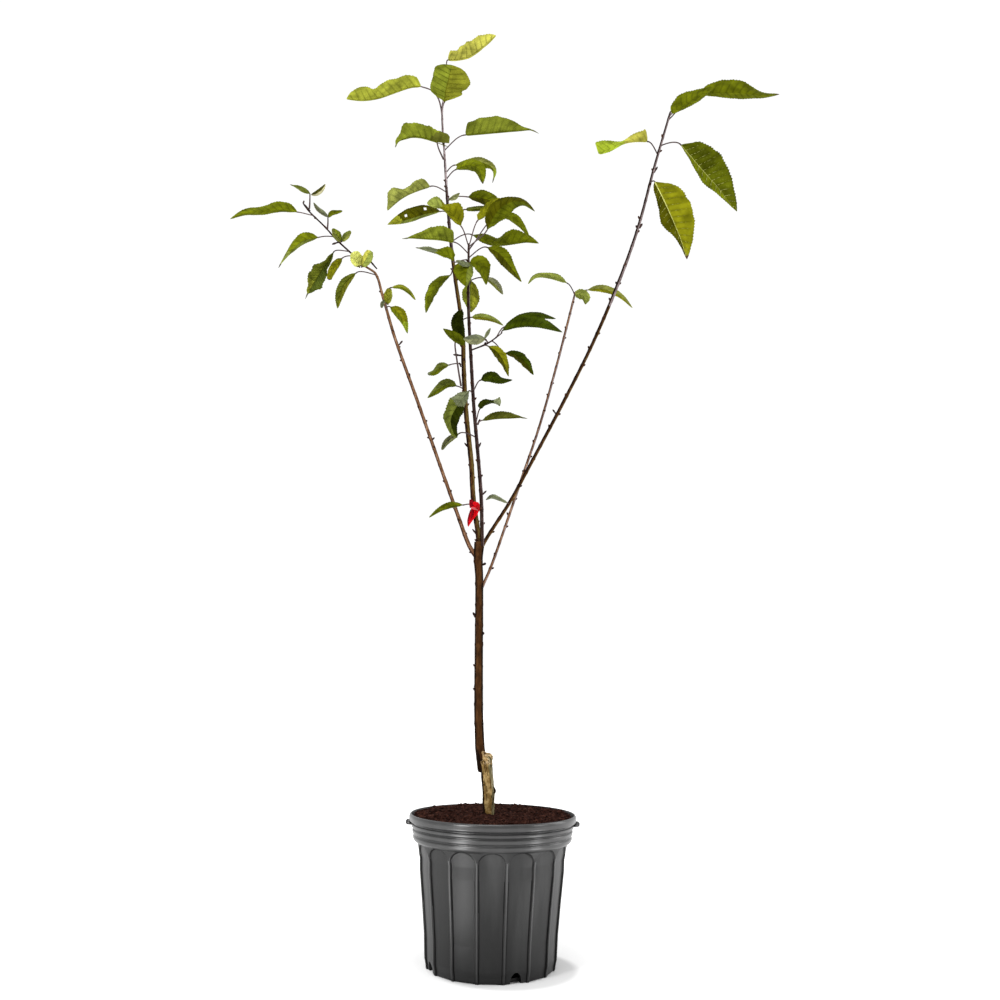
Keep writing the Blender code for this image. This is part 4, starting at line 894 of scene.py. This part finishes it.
def make_leaf(leaf, out, rng):
    name, limb, z, rib_pts, y0, y1, wl, wr, dl, dr, tint, more = leaf
    V, F, M, U = out
    mark = 20 * (sum(map(ord, name)) % 31)
    nv = 7
    cols = 2 * nv + 1
    seen_len = float(np.sum(np.linalg.norm(np.diff(np.array(rib_pts, float), axis=0), axis=1)))
    length = math.hypot(seen_len * .00178, y1 - y0)
    nu = int(min(64, max(22, length / .0024)))
    nveins = max(4, int(length / .0115))
    t = .003 + .996 * np.arange(nu + 1) / nu
    mid = through(rib_pts, t)
    tan = np.gradient(mid, axis=0)
    tan /= np.linalg.norm(tan, axis=1)[:, None]
    right = np.stack([-tan[:, 1], tan[:, 0]], 1)
    blunt = more.get('blunt', 0)
    ragged, ruffle = more.get('ragged', .02), more.get('ruffle', .8) / 1000
    wave = rng.uniform(2.6, 4.2)
    ph = [rng.random() * 6.28 for _ in range(4)]
    drip = more.get('drip', 0)
    tt = np.minimum(t / (1 - drip), 1)
    thin = np.where(t > 1 - drip - .02, .62 * np.clip((1 - t) / max(drip, .01) + .15, 0, 1), 0) * (drip > 0)

    def side(w, a, b):
        wavy = 1 + ragged * np.sin(2 * math.pi * wave * 1.3 * t + a) + ragged * .5 * np.sin(2 * math.pi * wave * 2.3 * t + b)
        return np.maximum(widths(w, tt, blunt) * wavy, thin)
    WL, WR = side(wl, ph[0], ph[1]), side(wr, ph[2], ph[3])
    env = np.sqrt(np.clip(np.sin(np.pi * np.clip(t, 0, 1) ** .8), 0, 1))
    v = (np.arange(cols) - nv) / nv
    s = np.abs(v)
    W = np.where(v[None, :] < 0, -WL[:, None], WR[:, None]) * s[None, :]
    D = np.where(v[None, :] < 0, dl, dr) / 1000 * env[:, None] * (s[None, :] ** 1.3)
    lobe = more.get('lobe', 0)
    px = mid[:, None, 0] + right[:, None, 0] * W - tan[:, None, 0] * lobe * s[None, :] * np.exp(-(t[:, None] / .13) ** 2)
    py = mid[:, None, 1] + right[:, None, 1] * W - tan[:, None, 1] * lobe * s[None, :] * np.exp(-(t[:, None] / .13) ** 2)
    bow = more.get('arch', 0) / 1000
    y = (y0 + (y1 - y0) * t + bow * 4 * t * (1 - t))[:, None] + D
    y = y + ruffle * (s[None, :] ** 2) * np.sin(2 * math.pi * wave * t[:, None] + ph[1] + (v[None, :] > 0) * 1.9) * env[:, None]
    P = seen_at(px, py, y)
    # toothed margin
    jag = [rng.random() for _ in range(67)]
    for j, inner in ((0, nv), (cols - 1, nv)):
        d = P[:, j] - P[:, inner]
        ln = np.linalg.norm(d, axis=1) + 1e-6
        size = np.array([((.55 + .8 * jag[k % 67]) if k % 2 else -.5 * jag[(k * 7) % 67]) for k in range(nu + 1)])
        size = size * more.get('teeth', 1) * (.0007 + .03 * np.minimum(ln, .03)) * np.where((t > .05) & (t < .95 - drip), 1, 0)
        P[:, j] += d / ln[:, None] * size[:, None]
    du = np.gradient(P, axis=0)
    dv = np.gradient(P, axis=1)
    N = np.cross(du, dv)
    N /= (np.linalg.norm(N, axis=2)[..., None] + 1e-9)
    flip = N[..., 2].sum() < 0
    if flip:
        N = -N
    vein = np.cos(2 * math.pi * (t[:, None] * nveins - s[None, :] * .95))
    quilt = .00055 * more.get('quilt', 1) * min(1, length / .08)
    P = P + N * (-quilt * vein * (1 - np.abs(2 * s[None, :] - 1)) * env[:, None])[..., None]
    P = P - N * (.0009 * np.exp(-(s[None, :] / .10) ** 2) * env[:, None])[..., None]
    o = len(V)
    V.extend(map(tuple, (P + N * .00017).reshape(-1, 3)))
    o2 = len(V)
    V.extend(map(tuple, (P - N * .00017).reshape(-1, 3)))
    U.extend([(mark + a * nveins, b) for a in t for b in v] * 2)
    # the two halves take their own tints, which carry painted light and shade as well as the leaf's colour
    tl, tr = (tint.split('/') * 2)[:2]
    tip_t, tip_tint = more.get('tip', (2, None))
    foot_t, foot_tint = more.get('front', (-1, None))
    tr_t, tr_tint = more.get('tipr', (2, None))
    brown_tip = more.get('brown') or rng.random() < .12

    # zones of the blade take other tints: the leaf's own greys, browns and dry tips, and painted light and shade on lit
    # and shaded parts
    def tone(i, j):
        k = tl if j < nv else tr
        f = i / nu
        a = 2 * abs((j + .5 - nv) / nv)
        if f > tip_t + .03 * a:
            k = tip_tint
        if f < foot_t - .03 * a:
            k = foot_tint
        if j >= nv and f > tr_t:
            k = tr_tint
        if drip and f > 1 - drip - .015:
            k = 'dry'
        return k
    for i in range(nu):
        for j in range(cols - 1):
            if more.get('holes') and ((abs(i - nu * .62) < 1.3 and j in (nv + 2, nv + 3)) or (abs(i - nu * .24) < 1.3 and j in (nv + 3, nv + 4))):
                continue
            a, b, c, d = o + i * cols + j, o + i * cols + j + 1, o + (i + 1) * cols + j + 1, o + (i + 1) * cols + j
            k = tone(i, j)
            brown = brown_tip and i / nu > .955 - .02 * abs(j - nv) / nv
            top = (a, b, c, d)[::-1] if not flip else (a, b, c, d)
            F.append(top)
            M.append('brown' if brown else k + '_top')
            F.append(tuple(q - o + o2 for q in top[::-1]))
            M.append('brown' if brown else k + '_under')
    for i in range(nu):
        for j in (0, cols - 1):
            a, b = o + i * cols + j, o + (i + 1) * cols + j
            f = (a, b, b - o + o2, a - o + o2)
            F.append(f if (j == 0) != flip else f[::-1])
            M.append(tone(i, min(j, cols - 2)) + '_under')
    vm = 'vein_pale' if more.get('pale') else (tl if max(wl) > max(wr) else tr) + '_rib'

    def rib(path, r0, r1, m):
        oo = len(V)
        n = len(path)
        for i, (p, nrm) in enumerate(path):
            g = path[min(i + 1, n - 1)][0] - path[max(i - 1, 0)][0]
            lat = np.cross(g, nrm)
            lat /= np.linalg.norm(lat) + 1e-9
            r = r0 + (r1 - r0) * i / (n - 1)
            V.extend([tuple(p + lat * r - nrm * .0001), tuple(p - nrm * (.00017 + r)), tuple(p - lat * r - nrm * .0001),
                      tuple(p + nrm * (.00017 + r * .45))])
            U.extend([(mark + .5, 0)] * 4)
        for i in range(n - 1):
            for k in range(4):
                q = (k + 1) % 4
                F.append((oo + i * 4 + k, oo + i * 4 + q, oo + i * 4 + 4 + q, oo + i * 4 + 4 + k))
                M.append(m)

    def on_blade(tt, vv):
        i = min(max(tt, 0), 1) * nu
        j = vv * nv + nv
        i0, j0 = min(int(i), nu - 1), min(int(j), cols - 2)
        a, b = i - i0, j - j0
        q = (P[i0, j0] * (1 - a) * (1 - b) + P[i0 + 1, j0] * a * (1 - b) + P[i0, j0 + 1] * (1 - a) * b + P[i0 + 1, j0 + 1] * a * b)
        return q, N[i0, j0]
    size = min(1, length / .10)
    rib([on_blade((.97 - drip) * i / 24, 0) for i in range(25)], (.00120 if more.get('pale') else .00085) * size, .0002, vm)
    for k in range(1, nveins):
        t0 = k / nveins * (1 - drip)
        for sg in (1, -1):
            rib([on_blade(min(.98 - drip, t0 + .85 * q / nveins), sg * q * .95) for q in (.02, .3, .6, .92)],
                (.00040 if not more.get('pale') else .00062) * size, .0001, vm if more.get('pale') else (tl if sg < 0 else tr) + '_rib')
    # stalk from the limb to the blade
    if more.get('stalk') == 0:
        return
    p0 = np.array(centre(limb, z))
    p3 = P[0, nv]
    if 'stalk' in more:
        way = [seen_at(x, yy, p3[1] + (p0[1] - p3[1]) * (i + 1) / len(more['stalk'])) for i, (x, yy) in enumerate(more['stalk'])]
        path = through([p3] + way, np.linspace(0, 1, 15))[::-1]
        rad = [.0013 + .0006 * (1 - i / 14) for i in range(15)]
    else:
        tanl = np.array((centre(limb, z + .01) - centre(limb, z - .01)).normalized())
        st = p3 - p0
        ln = float(np.linalg.norm(st))
        along = P[min(3, nu), nv] - P[0, nv]
        along /= np.linalg.norm(along) + 1e-9
        p1 = p0 + (st - tanl * st.dot(tanl)) * .30 + tanl * ln * .22
        p2 = p3 - along * ln * .32 + np.array((0, 0, .03 * ln))
        q = np.linspace(0, 1, 13)[:, None]
        path = p0 * (1 - q)**3 + p1 * 3 * q * (1 - q)**2 + p2 * 3 * q * q * (1 - q) + p3 * q**3
        rad = [.0019 if i == 0 else (.0012 if i < 11 else .0014) for i in range(13)]
    oo = len(V)
    n = len(path)
    for i in range(n):
        g = path[min(i + 1, n - 1)] - path[max(i - 1, 0)]
        g = Vector(g).normalized()
        la = g.cross(Vector((.31, .2, .9))).normalized()
        nn = la.cross(g)
        for q in range(7):
            a = 2 * math.pi * q / 7
            V.append(tuple(Vector(path[i]) + (la * math.cos(a) + nn * math.sin(a)) * rad[i]))
            U.append((mark + .5, 0))
    for i in range(n - 1):
        for q in range(7):
            w = (q + 1) % 7
            F.append((oo + i * 7 + q, oo + i * 7 + w, oo + i * 7 + 7 + w, oo + i * 7 + 7 + q))
            M.append('stalk')


# leaf tints: the leaves' own greens, yellows, greys and browns with the light and shade on each leaf painted in; the
# dark tints stand partly for leaves in shade, the bright ones partly for lit leaves
TINTS = {'night': (.014, .019, .001), 'deep': (.029, .042, .001), 'umber': (.045, .045, .001), 'dark': (.058, .068, .002),
         'shade': (.078, .090, .002), 'mid': (.098, .115, .003), 'cool': (.096, .113, .017), 'under': (.138, .138, .004),
         'green': (.155, .165, .032), 'olive': (.185, .195, .014), 'bright': (.220, .280, .018), 'soft': (.180, .210, .038),
         'yellow': (.300, .285, .042), 'pale': (.560, .570, .140), 'straw': (.330, .310, .160), 'grey': (.115, .130, .062),
         'ash': (.165, .172, .078), 'dull': (.090, .092, .040), 'dry': (.055, .052, .030), 'brown': (.080, .064, .003)}


def build_leaves():
    names, mats = [], []
    for k, c in TINTS.items():
        waxy = .10 if k in ('grey', 'ash', 'dull', 'straw') else .004
        names.append(k + '_top')
        mats.append(leaf_material('leaf_%s_top' % k, c, .40, waxy))
        names.append(k + '_under')
        under = tuple(x * .90 + y * .10 for x, y in zip(c, (.34, .40, .10)))
        mats.append(leaf_material('leaf_%s_under' % k, under, .62, .0))
        names.append(k + '_rib')
        mats.append(leaf_material('leaf_%s_rib' % k, tuple(x * .60 for x in c), .5, .0))
    for k, c, r in (('vein', (.22, .23, .05), .5), ('vein_pale', (.42, .43, .12), .5), ('brown', (.050, .024, .012), .7),
                    ('stalk', (.060, .040, .038), .5)):
        names.append(k)
        mats.append(leaf_material('leaf_' + k, c, r, .08))
    index = {n: i for i, n in enumerate(names)}
    groups = {'left': 'L', 'top': 'T', 'centre': 'C', 'lower': 'D', 'right': 'R', 'small': 'S'}
    nodes = [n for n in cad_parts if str(n).startswith('foliage_')]
    for gname, key in groups.items():
        out = ([], [], [], [])
        for i, leaf in enumerate(BLADES):
            if leaf[0][0] == key:
                make_leaf(leaf, out, random.Random(SEED * 100 + i))
        V, F, M, U = out
        used = sorted(set(M))
        stands = [n for n in nodes if n.split('_')[1][0] == key]
        new_piece('leaves_' + gname, V, F, [mats[index[k]] for k in used], [used.index(m) for m in M],
                  stands=tuple(stands), uv=U)


def build_ribbon():
    mats = []
    # red tape, painted shade on the shaded loops, a streak of painted highlight
    for name, a, b in (('ribbon_mat', (.44, .001, .004), (.60, .002, .007)), ('ribbon_shade_mat', (.12, .001, .004), (.25, .001, .007)),
                       ('ribbon_pale_mat', (.55, .10, .11), (.75, .24, .24))):
        m, nt, p = mat(name, .5, Specular_IOR_Level=.04)
        f = noise_tex(nt, 60, 2)
        nt.links.new(ramp(nt, f, [(.3, a), (.7, b)]), p.inputs['Base Color'])
        bump(nt, p, noise_tex(nt, 120, 2), .0003, .15)
        mats.append(m)
    m = mats[0]
    V, F = [], []
    n = 28
    for j in range(13):
        z = .781 + .0195 * j / 12
        c = centre('leader', z)
        for k in range(n):
            a = 2 * math.pi * k / n
            r = radius('leader', z) + .0010 + .0005 * math.sin(5 * a + j) + .0004 * math.sin(j * 1.7)
            V.append(c + Vector((r * math.cos(a), r * math.sin(a), 0)))
    for j in range(12):
        for k in range(n):
            q = (k + 1) % n
            F.append((j * n + k, j * n + q, (j + 1) * n + q, (j + 1) * n + k))
    band = new_piece('ribbon_band', V, F, [m], stands=('marker_ribbon',))
    mod = band.modifiers.new('thick', 'SOLIDIFY')
    mod.thickness = .0004
    # loops and tails as the viewer sees them: middle line, half widths, depths, shaded (0 plain red, 1 painted shade, 2
    # a pale pink streak of painted highlight)
    strips = [([(470.6, 499.4), (471.6, 503.0), (473.0, 507.0)], (1.2, 2.6, 3.4), (-.006, -.009, -.008), 1),
              ([(472.4, 504.0), (476.0, 505.6), (479.4, 509.0)], (2.6, 4.0, 1.4), (-.008, -.013, -.004), 0),
              ([(471.0, 509.0), (475.0, 509.2), (479.6, 510.4)], (2.4, 3.2, 1.2), (-.009, -.015, -.005), 0),
              ([(475.6, 509.0), (473.6, 514.0), (471.0, 519.4), (468.2, 526.6)], (3.4, 3.0, 1.7, .3), (-.011, -.013, -.010, -.012), 0),
              ([(472.2, 510.0), (470.2, 516.0), (468.6, 521.0), (467.9, 526.0)], (1.8, 1.9, 1.5, .3), (-.013, -.015, -.012, -.013), 1),
              ([(476.6, 510.6), (475.4, 514.4), (474.0, 517.8)], (2.2, 1.9, .6), (-.014, -.015, -.011), 0),
              ([(471.0, 507.6), (474.6, 508.6), (478.4, 510.8)], (.3, .8, .3), (-.0175, -.0185, -.012), 2)]
    V, F, idx = [], [], []
    for path, half, deep, shade in strips:
        t = np.linspace(0, 1, 19)
        mid = through(path, t)
        tan = np.gradient(mid, axis=0)
        tan /= np.linalg.norm(tan, axis=1)[:, None]
        hw = np.interp(t, np.linspace(0, 1, len(half)), half)
        yy = np.interp(t, np.linspace(0, 1, len(deep)), deep)
        o = len(V)
        for i in range(19):
            for j in range(7):
                v = (j - 3) / 3
                px = mid[i, 0] - tan[i, 1] * hw[i] * v
                py = mid[i, 1] + tan[i, 0] * hw[i] * v
                V.append(Vector(seen_at(px, py, yy[i] + centre('leader', .79).y + .0016 * math.sin(2.4 * v + 5 * t[i]))))
        for i in range(18):
            for j in range(6):
                a = o + i * 7 + j
                F.append((a, a + 1, a + 8, a + 7))
                idx.append(shade)
    t = new_piece('ribbon_tails', V, F, mats, idx)
    mod = t.modifiers.new('thick', 'SOLIDIFY')
    mod.thickness = .0004


def build_stage():
    bpy.ops.mesh.primitive_plane_add(size=30, location=(0, 0, -.0002))
    floor = bpy.context.object
    floor.name = 'floor'
    m, nt, p = mat('floor_mat', .9)
    p.inputs['Base Color'].default_value = (.72, .72, .72, 1)
    p.inputs['Emission Color'].default_value = (1, 1, 1, 1)
    co = nt.nodes.new('ShaderNodeNewGeometry')
    far = nt.nodes.new('ShaderNodeVectorMath')
    far.operation = 'LENGTH'
    nt.links.new(co.outputs['Position'], far.inputs[0])
    # painted shadow: the floor's glow is cut to nothing in a disc round the pot's foot, set a little to the right, so
    # the floor shows grey there
    close = nt.nodes.new('ShaderNodeVectorMath')
    close.operation = 'DISTANCE'
    nt.links.new(co.outputs['Position'], close.inputs[0])
    close.inputs[1].default_value = (.026, -.014, 0)
    foot = nt.nodes.new('ShaderNodeMapRange')
    foot.interpolation_type = 'SMOOTHSTEP'
    for k, val in zip(('From Min', 'From Max', 'To Min', 'To Max'), (.110, .132, .0, 1.0)):
        foot.inputs[k].default_value = val
    nt.links.new(close.outputs['Value'], foot.inputs['Value'])
    glow = nt.nodes.new('ShaderNodeMapRange')
    glow.interpolation_type = 'SMOOTHSTEP'
    for k, val in zip(('From Min', 'From Max', 'To Min', 'To Max'), (.25, 1.6, .30, .80)):
        glow.inputs[k].default_value = val
    nt.links.new(far.outputs['Value'], glow.inputs['Value'])
    both = nt.nodes.new('ShaderNodeMath')
    both.operation = 'MULTIPLY'
    nt.links.new(glow.outputs['Result'], both.inputs[0])
    nt.links.new(foot.outputs['Result'], both.inputs[1])
    nt.links.new(both.outputs[0], p.inputs['Emission Strength'])
    floor.data.materials.append(m)
    w = bpy.data.worlds.new('studio')
    bpy.context.scene.world = w
    w.use_nodes = True
    wt = w.node_tree
    back = wt.nodes['Background']
    back.inputs[1].default_value = 1.0
    # a white wall behind the object, a dimmer room with a bright ceiling in front
    co = wt.nodes.new('ShaderNodeTexCoord')
    sep = wt.nodes.new('ShaderNodeSeparateXYZ')
    wt.links.new(co.outputs['Generated'], sep.inputs[0])

    def span(sock, a, b, lo, hi):
        r = wt.nodes.new('ShaderNodeMapRange')
        r.interpolation_type = 'SMOOTHSTEP'
        for k, val in zip(('From Min', 'From Max', 'To Min', 'To Max'), (a, b, lo, hi)):
            r.inputs[k].default_value = val
        wt.links.new(sock, r.inputs['Value'])
        return r.outputs['Result']
    wall = span(sep.outputs['Y'], -.25, .30, 0, 1)
    roof = span(sep.outputs['Z'], -.05, .85, .24, .80)
    mix = wt.nodes.new('ShaderNodeMix')
    mix.data_type = 'FLOAT'
    wt.links.new(wall, mix.inputs[0])
    wt.links.new(roof, mix.inputs[2])
    mix.inputs[3].default_value = 1.04
    wt.links.new(mix.outputs[0], back.inputs[1])
    back.inputs[0].default_value = (1, 1, 1, 1)
    bpy.context.scene.view_settings.view_transform = 'Standard'
    bpy.context.scene.view_settings.look = 'None'
    for name, loc, size, power, aim in (('key', (-1.70, -1.96, 1.30), (.5, 1.7), 42, .6),
                                        ('top', (-.25, -1.05, 2.9), (1.5, .5), 24, .3),
                                        ('side', (2.05, -.90, 1.1), (.32, 1.4), 12, .3),
                                        ('rim', (2.20, .55, 1.2), (.4, 1.6), 12, .6)):
        ld = bpy.data.lights.new(name, 'AREA')
        ld.shape = 'RECTANGLE'
        ld.size, ld.size_y = size
        ld.energy = power
        lo = bpy.data.objects.new(name, ld)
        bpy.context.scene.collection.objects.link(lo)
        lo.visible_camera = False
        lo.location = loc
        lo.rotation_euler = (Vector((0, 0, aim)) - Vector(loc)).to_track_quat('-Z', 'Y').to_euler()
    # two cards on the ground before the pot, mirrored in its wall
    for name, turn, far_off, size, power in (('card_left', -41, .63, (.11, .66), 1.87), ('card_right', 60, .63, (.09, .66), 1.15)):
        a = math.radians(turn)
        d = Vector((math.sin(a), -math.cos(a), 0))
        ld = bpy.data.lights.new(name, 'AREA')
        ld.shape = 'RECTANGLE'
        ld.size, ld.size_y = size
        ld.energy = power
        lo = bpy.data.objects.new(name, ld)
        bpy.context.scene.collection.objects.link(lo)
        lo.visible_camera = False
        lo.location = d * far_off + Vector((0, 0, .003))
        lo.rotation_euler = Matrix((d.cross(Vector((0, 0, -1))), d, Vector((0, 0, -1)))).transposed().to_euler()
    cd = bpy.data.cameras.new('camera')
    cd.lens = 36.0
    cd.sensor_width = 36.0
    cam = bpy.data.objects.new('camera', cd)
    bpy.context.scene.collection.objects.link(cam)
    f, r, u = viewer_axes()
    rot = Matrix((r, u, -f)).transposed()
    cam.matrix_world = Matrix.Translation(EYE) @ rot.to_4x4()
    bpy.context.scene.camera = cam


def main():
    build_stage()
    build_pot()
    build_soil()
    bark = bark_material('bark_mat', (.012, .0040, .0010), (.040, .0150, .0034), (.086, .037, .011))
    flank = bark_material('bark_shade_mat', (.004, .0020, .0012), (.010, .0050, .0026), (.030, .014, .007), .01)
    olive = bark_material('bark_olive_mat', (.040, .022, .004), (.095, .060, .013), (.19, .13, .045))
    plum = bark_material('bark_plum_mat', (.008, .0040, .0034), (.022, .0115, .0100), (.075, .046, .040), .04)
    lilac = bark_material('bark_lilac_mat', (.060, .042, .042), (.150, .112, .112), (.34, .28, .28))
    pale = bark_material('bark_pale_mat', (.16, .125, .130), (.34, .28, .29), (.60, .52, .54))
    young = bark_material('young_bark_mat', (.055, .022, .010), (.160, .078, .038), (.36, .22, .14))
    dusk = bark_material('young_shade_mat', (.012, .0050, .0032), (.034, .014, .008), (.095, .046, .030), .02)
    tan = bark_material('rootstock_mat', (.040, .018, .004), (.180, .110, .034), (.52, .37, .16), .04, 95, 1.3)
    # greyer green on the right flank of the rootstock
    rootstock_grey_green = bark_material('rootstock_side_mat', (.040, .030, .010), (.150, .125, .060), (.36, .32, .20))
    callus = bark_material('callus_mat', (.060, .026, .008), (.40, .265, .115), (.86, .68, .46), .04, 150, 1.0)
    info = []
    # the trunk's second material is painted shade on its flanks, its third a painted lit strip
    obj, nodes = trunk_mesh([bark, flank, olive, tan, rootstock_grey_green, callus], ('trunk',))
    info.append(('trunk', nodes[3:]))
    # each limb's materials: its bark, its flank in painted shade, its strip of painted highlight, dealt out by
    # side_tone
    for name, limb, z0, z1, sides, mats, slot, stands, lo, hi in (
            ('leader_bark', 'leader', .7180, 1.290, 20, [bark, flank, olive], 'bark', ('leader',), -.45, .10),
            ('leader_top_bark', 'leader', 1.290, 1.440, 16, [plum, flank, lilac], 'bark', (), -.55, .30),
            ('leader_tip_bark', 'leader', 1.440, 1.703, 14, [lilac, plum, pale], 'bark', (), -.42, .35),
            ('second_leader_bark', 'second', .7180, 1.285, 16, [plum, flank, lilac], 'bark', ('second_leader',), -.30, .72),
            ('left_bough_bark', 'left', .6990, 1.322, 16, [young, dusk, young], 'young_bark', ('left_bough',), -.50, .80),
            ('left_tip_bark', 'left', 1.322, 1.460, 14, [plum, flank, lilac], 'young_bark', ('left_bough_tip',), -.20, .45),
            ('left_fork_twig', 'left2', 1.300, 1.326, 10, [plum, flank, plum], 'young_bark', (), -.50, .80),
            ('right_bough_low_bark', 'right', .7120, 1.150, 16, [bark, flank, olive], 'bark', ('right_bough',), .00, .55),
            ('right_bough_bark', 'right', 1.150, 1.500, 16, [lilac, flank, lilac], 'bark', (), -.05, .90),
            ('thin_bough_bark', 'thin', .6370, 1.275, 14, [young, dusk, lilac], 'young_bark', ('thin_bough',), -.35, .45),
            ('side_twig_bark', 'twig', 1.0800, 1.112, 12, [plum, flank, plum], 'young_bark', ('side_twig',), -.50, .80)):
        last = not name.endswith('low_bark') and z1 not in (1.290, 1.322)
        obj, nodes = limb_mesh(name, limb, z0, z1, sides, mats, stands, tip=last, lo=lo, hi=hi)
        if limb != 'left2':
            info.append((limb, nodes))
    buds(info, dusk)
    build_spurs(plum)
    build_ribbon()
    build_leaves()


main()
